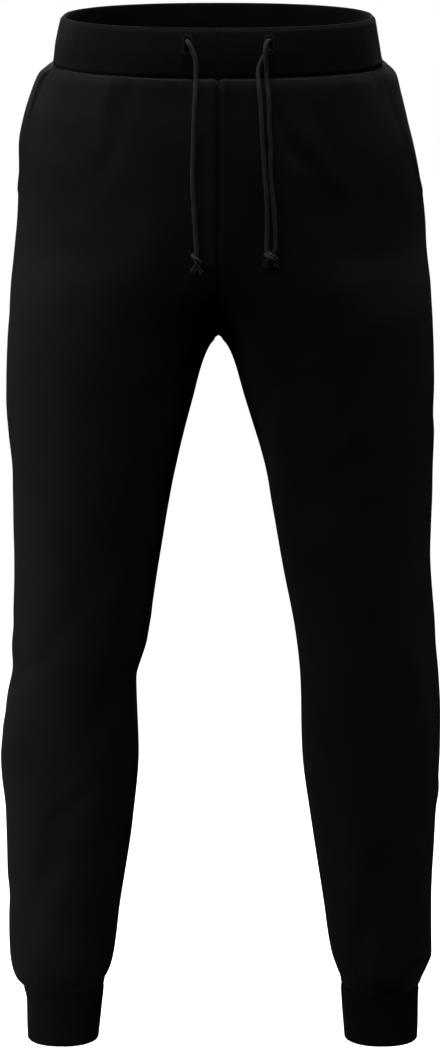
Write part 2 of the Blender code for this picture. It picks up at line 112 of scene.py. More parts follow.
world = bpy.data.worlds.new("white_room")
world.use_nodes = True
room = world.node_tree
room_seen = room.nodes.new("ShaderNodeLightPath")
room_level = room.nodes.new("ShaderNodeMapRange")
room_level.inputs["To Min"].default_value = ROOM_GLOW
room_level.inputs["To Max"].default_value = 1.0
room.links.new(room_seen.outputs["Is Camera Ray"], room_level.inputs["Value"])
room.links.new(room_level.outputs["Result"], room.nodes["Background"].inputs["Strength"])
room.nodes["Background"].inputs["Color"].default_value = (1, 1, 1, 1)
bpy.context.scene.world = world
bpy.context.scene.view_settings.view_transform = "Standard"

floor_mesh = bpy.data.meshes.new("studio_floor")
floor_form = bmesh.new()
bmesh.ops.create_circle(floor_form, cap_ends=True, segments=96, radius=FLOOR_RADIUS)
floor_form.to_mesh(floor_mesh)
floor_form.free()
floor = bpy.data.objects.new("studio_floor", floor_mesh)
floor.location.z = cad_low[2] - FLOOR_DROP
floor.visible_diffuse = False
floor.visible_glossy = False
bpy.context.scene.collection.objects.link(floor)
floor_paint = bpy.data.materials.new("floor_white")
floor_paint.use_nodes = True
floor_shader = floor_paint.node_tree.nodes["Principled BSDF"]
floor_shader.inputs["Base Color"].default_value = (0.86, 0.86, 0.86, 1)
floor_shader.inputs["Roughness"].default_value = 0.9
floor_shader.inputs["Emission Color"].default_value = (1, 1, 1, 1)
floor_shader.inputs["Emission Strength"].default_value = 1.0
floor_mesh.materials.append(floor_paint)

# ---------------------------------------------------------------------------------------------
# Drawcord: a 4.5 mm round braided cotton cord. Its free ends come out of two buttonholes, hang down
# the front, and end in an overhand knot and a frayed tip. The wearer's-left end shows two strands.
# It lies on the garment's form: one smooth surface from the waistband's rim to the hems.
# ---------------------------------------------------------------------------------------------
RIM_HEIGHT = 0.025
WAIST_SEAM = -0.022
CROTCH = -0.2935
CUFF_SEAM = -0.952
HEM = -1.008
WAIST_LEAN = 0.145
LEAN_ENDS = -0.25
FORK_RADIUS = 0.010
FORK_ZONE = (-0.350, -0.210)
FORK_CROWDING = 6
SIDES = ("right", "left")

# Half-widths of each leg's section: its outer side and its inner side, which above the crotch lies
# past the middle. front, back and mid are the section's Y at its front, its back and its seams.
STATIONS = (
    # height, out_right, in_right, out_left, in_left, front,   back,    mid,   squareness
    (+0.025, 0.1550, -0.155, 0.1540, -0.154, -0.1120, 0.1125, 0.000, 2.25),
    (+0.000, 0.1600, -0.160, 0.1580, -0.158, -0.1145, 0.1150, 0.000, 2.22),
    (-0.022, 0.1640, -0.164, 0.1630, -0.163, -0.1165, 0.1180, 0.000, 2.20),
    (-0.033, 0.1775, -0.177, 0.1755, -0.175, -0.1200, 0.1240, 0.000, 2.20),
    (-0.050, 0.1855, -0.185, 0.1805, -0.180, -0.1225, 0.1290, 0.000, 2.25),
    (-0.075, 0.1930, -0.193, 0.1870, -0.187, -0.1240, 0.1330, 0.001, 2.30),
    (-0.105, 0.1980, -0.198, 0.1945, -0.194, -0.1245, 0.1370, 0.002, 2.32),
    (-0.150, 0.1990, -0.196, 0.2020, -0.196, -0.1240, 0.1410, 0.003, 2.34),
    (-0.200, 0.2030, -0.150, 0.2060, -0.150, -0.1215, 0.1400, 0.004, 2.34),
    (-0.240, 0.2070, -0.060, 0.2110, -0.060, -0.1180, 0.1350, 0.005, 2.32),
    (-0.270, 0.2090, -0.009, 0.2130, -0.009, -0.1145, 0.1300, 0.005, 2.30),
    (-0.2935, 0.2100, 0.010, 0.2140, 0.010, -0.1120, 0.1250, 0.005, 2.28),
    (-0.356, 0.2105, 0.028, 0.2150, 0.029, -0.1060, 0.1160, 0.004, 2.25),
    (-0.435, 0.2065, 0.0465, 0.2135, 0.050, -0.1000, 0.1060, 0.003, 2.22),
    (-0.515, 0.2055, 0.060, 0.2110, 0.064, -0.0920, 0.0960, 0.003, 2.20),
    (-0.590, 0.2075, 0.072, 0.2155, 0.078, -0.0840, 0.0885, 0.004, 2.18),
    (-0.637, 0.2120, 0.083, 0.2195, 0.083, -0.0790, 0.0880, 0.006, 2.16),
    (-0.710, 0.2175, 0.081, 0.2225, 0.085, -0.0700, 0.0930, 0.011, 2.14),
    (-0.780, 0.2155, 0.087, 0.2200, 0.094, -0.0620, 0.0945, 0.016, 2.14),
    (-0.866, 0.2140, 0.100, 0.2170, 0.107, -0.0500, 0.0890, 0.019, 2.14),
    (-0.918, 0.2125, 0.107, 0.2175, 0.115, -0.0430, 0.0820, 0.020, 2.14),
    (-0.933, 0.2105, 0.111, 0.2120, 0.120, -0.0400, 0.0780, 0.020, 2.14),
    (-0.944, 0.2060, 0.116, 0.2070, 0.124, -0.0340, 0.0725, 0.020, 2.14),
    (-0.952, 0.1995, 0.117, 0.2045, 0.125, -0.0275, 0.0665, 0.020, 2.12),
    (-0.970, 0.1955, 0.119, 0.2035, 0.126, -0.0240, 0.0630, 0.020, 2.10),
    (-1.008, 0.1945, 0.123, 0.2025, 0.129, -0.0230, 0.0620, 0.020, 2.10),
)
COLUMNS = ("height", "out_right", "in_right", "out_left", "in_left", "front", "back", "mid", "squareness")
OUTLINE_STEPS = 161


def column(name):
    return np.array([row[COLUMNS.index(name)] for row in STATIONS])


def smooth_step(t):
    t = np.clip(t, 0.0, 1.0)
    return t * t * (3 - 2 * t)


def steady_curve(x, knots_x, knots_y):
    """A smooth curve through the table's values that never overshoots them."""
    order = np.argsort(knots_x)
    kx, ky = knots_x[order], knots_y[order]
    step = np.diff(kx)
    slope = np.diff(ky) / step
    tangent = np.zeros_like(kx)
    same_way = slope[:-1] * slope[1:] > 0
    weight_a, weight_b = 2 * step[1:] + step[:-1], step[1:] + 2 * step[:-1]
    safe = np.where(same_way, slope[:-1] * slope[1:], 1.0)
    shared = np.where(same_way, weight_a * slope[1:] + weight_b * slope[:-1], 1.0)
    mean = safe * (weight_a + weight_b) / shared
    tangent[1:-1] = np.where(same_way, mean, 0.0)
    tangent[0], tangent[-1] = slope[0], slope[-1]
    x = np.clip(x, kx[0], kx[-1])
    i = np.clip(np.searchsorted(kx, x) - 1, 0, len(step) - 1)
    t = (x - kx[i]) / step[i]
    return (
        (1 + 2 * t) * (1 - t) ** 2 * ky[i]
        + t * (1 - t) ** 2 * step[i] * tangent[i]
        + t * t * (3 - 2 * t) * ky[i + 1]
        + t * t * (t - 1) * step[i] * tangent[i + 1]
    )


def at_heights(name, heights):
    return steady_curve(np.atleast_1d(heights), column("height"), column(name))


def lean(heights):
    return WAIST_LEAN * smooth_step((heights - LEAN_ENDS) / (WAIST_SEAM - LEAN_ENDS))


def outlines(side, face, heights):
    """Half sections, front or back, one row a height: x, y and length from the side seam inwards."""
    outer, inner = at_heights("out_" + side, heights), at_heights("in_" + side, heights)
    middle, half = (outer + inner) / 2, (outer - inner) / 2
    mid, power = at_heights("mid", heights), 2 / at_heights("squareness", heights)
    reach = np.clip((FORK_RADIUS - middle) / half, -1, 1)
    end = np.where(inner < FORK_RADIUS, np.arccos(np.sign(reach) * np.abs(reach) ** (1 / power)), np.pi)
    angle = end[:, None] * np.linspace(0, 1, OUTLINE_STEPS)
    power = power[:, None]
    across = middle[:, None] + half[:, None] * np.sign(np.cos(angle)) * np.abs(np.cos(angle)) ** power
    x = np.sqrt(np.maximum(across**2 - FORK_RADIUS**2, 0)) * (1 if side == "left" else -1)
    y = mid[:, None] + (at_heights(face, heights) - mid)[:, None] * np.abs(np.sin(angle)) ** power
    step = np.hypot(np.diff(x), np.diff(y))
    return x, y, np.concatenate([np.zeros((len(x), 1)), np.cumsum(step, axis=1)], axis=1)


def half_girths(side, face, heights):
    return outlines(side, face, np.atleast_1d(heights))[2][:, -1]


even_levels = np.array([h for h in column("height") if not FORK_ZONE[0] < h < FORK_ZONE[1]])
even_girths = {(s, f): half_girths(s, f, even_levels) for s in SIDES for f in ("front", "back")}


def bare_points(side, face, heights, shares):
    """Points of the form, rows by columns. A share runs from 0 at the side seam to 1 at the inner seam."""
    x, y, length = outlines(side, face, heights)
    even = steady_curve(heights, even_levels, even_girths[side, face])[:, None]
    share = np.clip(shares, 0, 1)
    along = share * even + (length[:, -1:] - even) * share**FORK_CROWDING
    px = np.stack([np.interp(a, l, v) for a, l, v in zip(along, length, x)])
    py = np.stack([np.interp(a, l, v) for a, l, v in zip(along, length, y)])
    return np.stack([px, py, heights[:, None] + lean(heights)[:, None] * py], axis=-1)


def outward(side, face, heights, shares):
    """Unit vectors out of the garment at those points."""
    step_s, step_h = 0.004, 0.0004
    ahead, behind = (bare_points(side, face, heights, shares + step) for step in (step_s, -step_s))
    above, under = (bare_points(side, face, heights + step, shares) for step in (step_h, -step_h))
    turned = np.cross(above - under, ahead - behind) * (1 if (side == "left") == (face == "front") else -1)
    centre = (heights[:, None] >= CROTCH) & (shares > 1 - step_s / 4)
    turned[..., 0] = np.where(centre, 0.0, turned[..., 0])
    return turned / np.maximum(np.linalg.norm(turned, axis=-1, keepdims=True), 1e-12)


def front_y(x, height):
    """Y of the garment's plain front at a place seen from the front."""
    side = "left" if x > 0 else "right"
    y = at_heights("front", height)[0]
    for _ in range(6):
        row = height - lean(height) * y
        xs, ys, _ = outlines(side, "front", np.array([row]))
        y = float(np.interp(abs(x), np.abs(xs[0])[::-1], ys[0][::-1]))
    return y


CORD_DIAMETER = 0.0045
CORD_ROUTES = {
    "drawcord_right": (
        # x,      height,  lift of the cord's middle off the cloth
        (-0.0300, -0.0040, -0.0016),
        (-0.0295, -0.0045, +0.0020),
        (-0.0280, -0.0070, +0.0042),
        (-0.0256, -0.0115, +0.0046),
        (-0.0228, -0.0190, +0.0042),
        (-0.0215, -0.0270, +0.0040),
        (-0.0216, -0.0400, +0.0038),
        (-0.0222, -0.0560, +0.0036),
        (-0.0232, -0.0740, +0.0036),
        (-0.0238, -0.0940, +0.0036),
        (-0.0242, -0.1140, +0.0036),
        (-0.0248, -0.1360, +0.0036),
        (-0.0240, -0.1540, +0.0036),
        (-0.0230, -0.1720, +0.0036),
        (-0.0218, -0.1900, +0.0038),
        (-0.0210, -0.2060, +0.0044),
    ),
    "drawcord_left": (
        (0.0490, -0.0040, -0.0016),
        (0.0487, -0.0036, +0.0024),
        (0.0472, -0.0040, +0.0062),
        (0.0454, -0.0078, +0.0094),
        (0.0447, -0.0140, +0.0100),
        (0.0450, -0.0205, +0.0090),
        (0.0456, -0.0280, +0.0066),
        (0.0460, -0.0350, +0.0048),
        (0.0463, -0.0440, +0.0040),
        (0.0478, -0.0570, +0.0038),
        (0.0483, -0.0740, +0.0038),
        (0.0484, -0.0880, +0.0038),
        (0.0498, -0.1020, +0.0038),
        (0.0498, -0.1170, +0.0038),
        (0.0500, -0.1340, +0.0038),
        (0.0520, -0.1540, +0.0038),
        (0.0538, -0.1730, +0.0038),
        (0.0546, -0.1900, +0.0040),
        (0.0546, -0.2035, +0.0046),
    ),
    "drawcord_left_return": (
        (0.0486, -0.0118, -0.0016),
        (0.0485, -0.0120, +0.0016),
        (0.0472, -0.0136, +0.0038),
        (0.0444, -0.0172, +0.0036),
        (0.0412, -0.0225, +0.0034),
        (0.0390, -0.0285, +0.0034),
        (0.0380, -0.0350, +0.0036),
        (0.0386, -0.0480, +0.0036),
        (0.0402, -0.0640, +0.0036),
        (0.0412, -0.0820, +0.0036),
        (0.0420, -0.1000, +0.0036),
        (0.0432, -0.1160, +0.0036),
        (0.0444, -0.1320, +0.0036),
        (0.0458, -0.1480, +0.0036),
        (0.0466, -0.1660, +0.0036),
        (0.0466, -0.1820, +0.0038),
        (0.0462, -0.2035, +0.0046),
    ),
}
BRAID_SIDES = 24
BRAID_RING_STEP = 0.0006
BRAID_STRANDS = 4  # strands that run each way round
BRAID_LAY = 0.0088  # length in which a strand goes once round
BRAID_RELIEF = 0.00050


def lengths_along(points):
    """How far along a line each of its points lies."""
    return np.concatenate([[0], np.cumsum(np.linalg.norm(np.diff(points, axis=0), axis=1))])


def even_route(points, step):
    """Points at even steps along a smooth curve through the route."""
    places = np.array(points, float)
    padded = np.vstack([2 * places[0] - places[1], places, 2 * places[-1] - places[-2]])
    fine = []
    for k in range(1, len(padded) - 2):
        a, b, c, d = padded[k - 1 : k + 3]
        bend, twist = 2 * a - 5 * b + 4 * c - d, 3 * b - a - 3 * c + d
        for t in np.linspace(0, 1, 24, endpoint=False):
            fine.append(0.5 * (2 * b + (c - a) * t + bend * t**2 + twist * t**3))
    fine = np.array(fine + [places[-1]])
    length = lengths_along(fine)
    marks = np.linspace(0, length[-1], max(2, round(length[-1] / step)) + 1)
    return np.stack([np.interp(marks, length, fine[:, k]) for k in range(3)], axis=1), length[-1]


def braided_tube(name, path, radius):
    """A closed round tube along a path, its skin raised in the crossing strands of a braid."""
    tangent = np.gradient(path, axis=0)
    tangent /= np.linalg.norm(tangent, axis=1, keepdims=True)
    first = np.cross(tangent[0], (0.0, 0.0, 1.0) if abs(tangent[0][2]) < 0.9 else (0.0, 1.0, 0.0))
    across = [first / np.linalg.norm(first)]
    for k in range(1, len(path)):
        turned = across[-1] - tangent[k] * np.dot(across[-1], tangent[k])
        across.append(turned / np.linalg.norm(turned))
    across = np.array(across)
    upward = np.cross(tangent, across)
    along = lengths_along(path)
    angle = np.linspace(0, 2 * np.pi, BRAID_SIDES, endpoint=False)
    turn = 2 * np.pi * along[:, None] / BRAID_LAY
    one, other = (np.abs(np.sin(BRAID_STRANDS * (angle + way * turn) / 2)) for way in (1, -1))
    size = radius + BRAID_RELIEF * (np.maximum(one, other) - 1)
    spokes = np.cos(angle)[:, None] * across[:, None] + np.sin(angle)[:, None] * upward[:, None]
    points = (path[:, None] + size[..., None] * spokes).reshape(-1, 3)
    last = (len(path) - 1) * BRAID_SIDES
    sides = [(k, (k + 1) % BRAID_SIDES) for k in range(BRAID_SIDES)]
    faces = [
        (row + k, row + after, row + BRAID_SIDES + after, row + BRAID_SIDES + k)
        for row in range(0, last, BRAID_SIDES)
        for k, after in sides
    ]
    faces.append(tuple(range(BRAID_SIDES))[::-1])
    faces.append(tuple(range(last, last + BRAID_SIDES)))
    mesh = bpy.data.meshes.new(name)
    mesh.from_pydata(points.tolist(), [], faces)
    corners = np.array([v for f in faces for v in f])
    unrolled = np.stack([angle[corners % BRAID_SIDES] * radius, along[corners // BRAID_SIDES]], axis=1)
    mesh.uv_layers.new(name="lay").data.foreach_set("uv", unrolled.astype(np.float32).ravel())
    mesh.shade_smooth()
    return mesh


def placed(name, mesh, material=None):
    """An object at the origin that shows a mesh."""
    made = bpy.data.objects.new(name, mesh)
    bpy.context.scene.collection.objects.link(made)
    if material:
        mesh.materials.append(material)
    return made


def add_node(tree, kind, inputs=None, **settings):
    """Adds a node, sets its options, and sets or links its inputs by name or number."""
    made = tree.nodes.new(kind)
    for key, value in settings.items():
        setattr(made, key, value)
    for key, value in (inputs or {}).items():
        if isinstance(value, bpy.types.NodeSocket):
            tree.links.new(value, made.inputs[key])
        else:
            made.inputs[key].default_value = value
    return made


def reckon(tree, operation, a, b=0.0, c=0.0):
    """A sum worked out by a Math node."""
    return add_node(tree, "ShaderNodeMath", {0: a, 1: b, 2: c}, operation=operation).outputs[0]


def new_group(name, kind, inputs, outputs):
    """A node group with named sockets: (name, type, default) rows."""
    group = bpy.data.node_groups.new(name, kind)
    for way, rows in (("INPUT", inputs), ("OUTPUT", outputs)):
        for socket_name, socket_type, *default in rows:
            full_type = "NodeSocket" + socket_type
            socket = group.interface.new_socket(socket_name, in_out=way, socket_type=full_type)
            if default:
                socket.default_value = default[0]
    return group, add_node(group, "NodeGroupInput").outputs, add_node(group, "NodeGroupOutput").inputs


# Cotton fuzz: the soft uneven tone of dyed cotton, and the grain of the fibres raised on its face.
cotton_fuzz, fuzz_in, fuzz_out = new_group(
    "cotton_fuzz",
    "ShaderNodeTree",
    (("Vector", "Vector"), ("Patch Size", "Float", 0.05), ("Fibre Size", "Float", 0.0007)),
    (("Tone", "Float"), ("Fibres", "Float")),
)
patch_scale = reckon(cotton_fuzz, "DIVIDE", 1.0, fuzz_in["Patch Size"])
fibre_scale = reckon(cotton_fuzz, "DIVIDE", 1.0, fuzz_in["Fibre Size"])
patches = add_node(
    cotton_fuzz, "ShaderNodeTexNoise", {"Vector": fuzz_in["Vector"], "Scale": patch_scale, "Detail": 3.0}
)
fibres = add_node(
    cotton_fuzz, "ShaderNodeTexNoise", {"Vector": fuzz_in["Vector"], "Scale": fibre_scale, "Detail": 2.0}
)
cotton_fuzz.links.new(patches.outputs["Fac"], fuzz_out["Tone"])
cotton_fuzz.links.new(fibres.outputs["Fac"], fuzz_out["Fibres"])


# The Mix node's sockets for colours: its factor, the two colours, and the colour that comes out.
MIX_FACTOR, MIX_FROM, MIX_TO, MIX_RESULT = 0, 6, 7, 2


def colour_between(tree, factor, dark, light):
    """A colour between two, by a factor that changes over the surface. Each may be a link."""
    mixed = {MIX_FACTOR: factor, MIX_FROM: dark, MIX_TO: light}
    return add_node(tree, "ShaderNodeMix", mixed, data_type="RGBA").outputs[MIX_RESULT]


COTTON_SHINE = 0.05
COTTON_SHEEN_ROUGHNESS = 0.4


def cotton_material(name, dark, light, roughness, sheen, patch_size, fibre_size, fibre_depth):
    """A matt cotton finish. Returns the material and the node that raises its fibres."""
    material = bpy.data.materials.new(name)
    material.use_nodes = True
    tree = material.node_tree
    shader = tree.nodes["Principled BSDF"]
    where = add_node(tree, "ShaderNodeTexCoord").outputs["Object"]
    sizes = {"Vector": where, "Patch Size": patch_size, "Fibre Size": fibre_size}
    fuzz = add_node(tree, "ShaderNodeGroup", sizes, node_tree=cotton_fuzz)
    tone = colour_between(tree, fuzz.outputs["Tone"], (*dark, 1), (*light, 1))
    tree.links.new(tone, shader.inputs["Base Color"])
    rise = {"Height": fuzz.outputs["Fibres"], "Distance": fibre_depth, "Strength": 1.0}
    raised = add_node(tree, "ShaderNodeBump", rise)
    tree.links.new(raised.outputs["Normal"], shader.inputs["Normal"])
    shader.inputs["Roughness"].default_value = roughness
    shader.inputs["Specular IOR Level"].default_value = COTTON_SHINE
    shader.inputs["Sheen Weight"].default_value = sheen
    shader.inputs["Sheen Roughness"].default_value = COTTON_SHEEN_ROUGHNESS
    return material, raised


CORD_DARK = (0.016, 0.016, 0.017)
CORD_LIGHT = (0.032, 0.032, 0.033)
cord_cotton = cotton_material(
    "black_cord_cotton",
    CORD_DARK,
    CORD_LIGHT,
    roughness=0.85,
    sheen=0.03,
    patch_size=0.006,
    fibre_size=0.0004,
    fibre_depth=0.00012,
)[0]


def grown(piece, tree, settings):
    """Runs a Geometry Nodes tree on a piece and leaves the result on it as a plain mesh."""
    modifier = piece.modifiers.new(tree.name, "NODES")
    modifier.node_group = tree
    for item in tree.interface.items_tree:
        if item.in_out == "INPUT" and item.name in settings:
            modifier[item.identifier] = settings[item.name]
    mesh = bpy.data.meshes.new_from_object(piece.evaluated_get(bpy.context.evaluated_depsgraph_get()))
    piece.modifiers.remove(modifier)
    old = piece.data
    piece.data = mesh
    bpy.data.meshes.remove(old)
    mesh.name = piece.name
    mesh.shade_smooth()
    return piece


# Frayed tuft: fine yarns that spring from the points of a cord's cut end, each bent its own way.
frayed_tuft, tuft_in, tuft_out = new_group(
    "frayed_tuft",
    "GeometryNodeTree",
    (
        ("Geometry", "Geometry"),
        ("Yarn Length", "Float", 0.006),
        ("Yarn Radius", "Float", 0.0003),
        ("Spread", "Float", 0.5),
        ("Seed", "Int", 1),
        ("Finish", "Material"),
    ),
    (("Geometry", "Geometry"),),
)
yarn_fall = reckon(frayed_tuft, "MULTIPLY", tuft_in["Yarn Length"], -1.0)
yarn_aside = reckon(frayed_tuft, "MULTIPLY", tuft_in["Yarn Length"], 0.30)
yarn_half_fall = reckon(frayed_tuft, "MULTIPLY", tuft_in["Yarn Length"], -0.55)
yarn_droop = add_node(frayed_tuft, "ShaderNodeCombineXYZ", {"Z": yarn_fall})
yarn_bow = add_node(frayed_tuft, "ShaderNodeCombineXYZ", {"X": yarn_aside, "Z": yarn_half_fall})
yarn = add_node(
    frayed_tuft,
    "GeometryNodeCurveQuadraticBezier",
    {"Resolution": 6, "Start": (0, 0, 0), "Middle": yarn_bow.outputs[0], "End": yarn_droop.outputs[0]},
)
lean_most = add_node(
    frayed_tuft, "ShaderNodeCombineXYZ", {"X": tuft_in["Spread"], "Y": tuft_in["Spread"], "Z": math.pi}
)
lean_least = add_node(
    frayed_tuft, "ShaderNodeVectorMath", {0: lean_most.outputs[0], 1: (-1, -1, -1)}, operation="MULTIPLY"
)
yarn_turn = add_node(
    frayed_tuft,
    "FunctionNodeRandomValue",
    {"Min": lean_least.outputs[0], "Max": lean_most.outputs[0], "Seed": tuft_in["Seed"]},
    data_type="FLOAT_VECTOR",
)
yarn_reach = add_node(
    frayed_tuft, "FunctionNodeRandomValue", {2: 0.6, 3: 1.1, "Seed": tuft_in["Seed"]}, data_type="FLOAT"
)
yarns = add_node(
    frayed_tuft,
    "GeometryNodeInstanceOnPoints",
    {
        "Points": tuft_in["Geometry"],
        "Instance": yarn.outputs[0],
        "Rotation": yarn_turn.outputs["Value"],
        "Scale": yarn_reach.outputs[1],
    },
)
loose_yarns = add_node(frayed_tuft, "GeometryNodeRealizeInstances", {"Geometry": yarns.outputs[0]})
yarn_round = add_node(
    frayed_tuft, "GeometryNodeCurvePrimitiveCircle", {"Resolution": 5, "Radius": tuft_in["Yarn Radius"]}
)
spun_yarns = add_node(
    frayed_tuft,
    "GeometryNodeCurveToMesh",
    {"Curve": loose_yarns.outputs[0], "Profile Curve": yarn_round.outputs[0], "Fill Caps": True},
)
finished_yarns = add_node(
    frayed_tuft, "GeometryNodeSetMaterial", {"Geometry": spun_yarns.outputs[0], "Material": tuft_in["Finish"]}
)
frayed_tuft.links.new(finished_yarns.outputs[0], tuft_out["Geometry"])

TUFT_YARNS = 34
TUFT_SPREAD = 0.30
YARN_RADIUS = 0.00038


def knot_path(start, finish, centre, half_width, depth, half_height):
    """The cord's way through an overhand knot, from where the cord comes in to where its end leaves."""
    t = np.linspace(-2.0, 2.0, 61)
    loose = 1 - smooth_step((np.abs(t) - 1.55) / 0.45)
    sideways = half_width * (t**3 - 3 * t) / 2 * loose
    outwards = depth * (t**4 - 4 * t**2 + 2) * loose
    upwards = half_height * (10 * t - t**5) / 8.5 * loose
    line = np.stack([sideways, -outwards, upwards], axis=1) + centre
    entering, leaving = smooth_step((-t - 1.5) / 0.5)[:, None], smooth_step((t - 1.5) / 0.5)[:, None]
    line = line + (np.array(start) - centre) * entering + (np.array(finish) - centre) * leaving
    return even_route(line, BRAID_RING_STEP)[0]


def disc_points(centre, radius, count):
    """Points spread over a small level disc, as a sunflower's seeds are."""
    k = np.arange(count)
    spread, angle = radius * np.sqrt((k + 0.5) / count), k * math.radians(137.5)
    return np.array(centre) + np.stack([spread * np.cos(angle), spread * np.sin(angle), 0 * spread], axis=1)


def join_meshes(name, meshes):
    """One mesh that holds several, which are then removed."""
    whole = bmesh.new()
    for mesh in meshes:
        whole.from_mesh(mesh)
    joined = bpy.data.meshes.new(name)
    whole.to_mesh(joined)
    whole.free()
    for mesh in meshes:
        bpy.data.meshes.remove(mesh)
    joined.shade_smooth()
    return joined


# The knots: each free end is tied in an overhand knot under the cord, and its end is left to fray.
# The wearer's-left end ties its two strands together, so its knot lies wide and has two tufts.
KNOT_CORD_RADIUS = 0.0021
KNOT_LIFT = 0.0056
KNOTS = {
    # side: (height, half width, depth, half height of the knot), then its strands: the cord that comes
    # in, the strand's shift in the knot, and the place, length and lean of each tuft that it ends in
    "right": (
        (-0.2117, 0.0036, 0.0013, 0.0036),
        (
            (
                "drawcord_right",
                (0.0, 0.0, 0.0),
                (0.0004, -0.2172),
                ((-0.0012, 0.0090, 0.30), (0.0014, 0.0095, -0.38)),
            ),
        ),
    ),
    "left": (
        (-0.2090, 0.0040, 0.0012, 0.0028),
        (
            ("drawcord_left", (0.0010, 0.0, 0.0008), (0.0040, -0.2133), ((0.0, 0.0068, -0.16),)),
            ("drawcord_left_return", (-0.0010, -0.0012, -0.0010), (-0.0042, -0.2135), ((0.0, 0.0066, 0.20),)),
        ),
    ),
}
TUFT_ROOT_RISE = 0.0006  # how far inside the cord's end its yarns start


def tuft_mesh(root, length, lean_angle, seed):
    """A cord's frayed end: loose yarns that hang from a point and lean to one side."""
    roots = bpy.data.meshes.new("tuft_roots")
    roots.from_pydata(disc_points(root, KNOT_CORD_RADIUS * 0.6, TUFT_YARNS).tolist(), [], [])
    settings = {
        "Yarn Length": length,
        "Yarn Radius": YARN_RADIUS,
        "Spread": TUFT_SPREAD,
        "Seed": seed,
        "Finish": cord_cotton,
    }
    tuft = grown(placed("tuft", roots), frayed_tuft, settings)
    mesh = tuft.data
    bpy.data.objects.remove(tuft)
    pivot = Matrix.Translation(root)
    mesh.transform(pivot @ Matrix.Rotation(lean_angle, 4, "Y") @ pivot.inverted())
    return mesh


cord_ends = {}
for cord_name, route in CORD_ROUTES.items():
    places = [(x, front_y(x, z) - lift, z) for x, z, lift in route]
    path, cord_length = even_route(places, BRAID_RING_STEP)
    cord_piece = placed(cord_name + "_braid", braided_tube(cord_name, path, CORD_DIAMETER / 2), cord_cotton)
    cord_ends[cord_name] = (cord_piece, path, cord_length)

for side, ((height, half_width, depth, half_height), strands) in KNOTS.items():
    knot_meshes = []
    starts = [cord_ends[strand[0]][1][-2] for strand in strands]
    x = float(np.mean([start[0] for start in starts]))
    for start, (cord_name, shift, (exit_aside, exit_height), tufts) in zip(starts, strands):
        centre = np.array((x, front_y(x, height) - KNOT_LIFT, height)) + shift
        finish = (x + exit_aside, front_y(x, exit_height) - KNOT_LIFT + 0.0010, exit_height)
        path = knot_path(start, finish, centre, half_width, depth, half_height)
        knot_meshes.append(braided_tube("knot", path, KNOT_CORD_RADIUS))
        for aside, length, lean_angle in tufts:
            root = Vector(path[-1]) + Vector((aside, 0, TUFT_ROOT_RISE))
            knot_meshes.append(tuft_mesh(root, length, lean_angle, 3 + len(knot_meshes)))
    for mesh in knot_meshes:
        mesh.materials.clear()
    knot = placed("knot_" + side + "_overhand", join_meshes("knot_" + side, knot_meshes), cord_cotton)
    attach(knot, "root")
    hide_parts("knot_" + side)

for cord_name, (cord_piece, path, cord_length) in cord_ends.items():
    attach(cord_piece, "root")
    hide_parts(cord_name)
    side = "right" if cord_name.endswith("right") else "left"

# ---------------------------------------------------------------------------------------------
# Fronts and backs: four panels of fleece-backed cotton knit, about 2 mm thick, joined by overlocked
# side seams, inner leg seams and one seam through the middle. The cloth is eased into the elastic
# waist, gathered into the ankle cuffs, and creases softly at the fork, the knees and the seat.
# ---------------------------------------------------------------------------------------------
CLOTH_WALL = 0.002
POCKET_MOUTH_WIDTH = 0.053
POCKET_MOUTH_BOTTOM = -0.150
PANEL_STRETCHES = ("hip", "fork", "thigh", "shin")

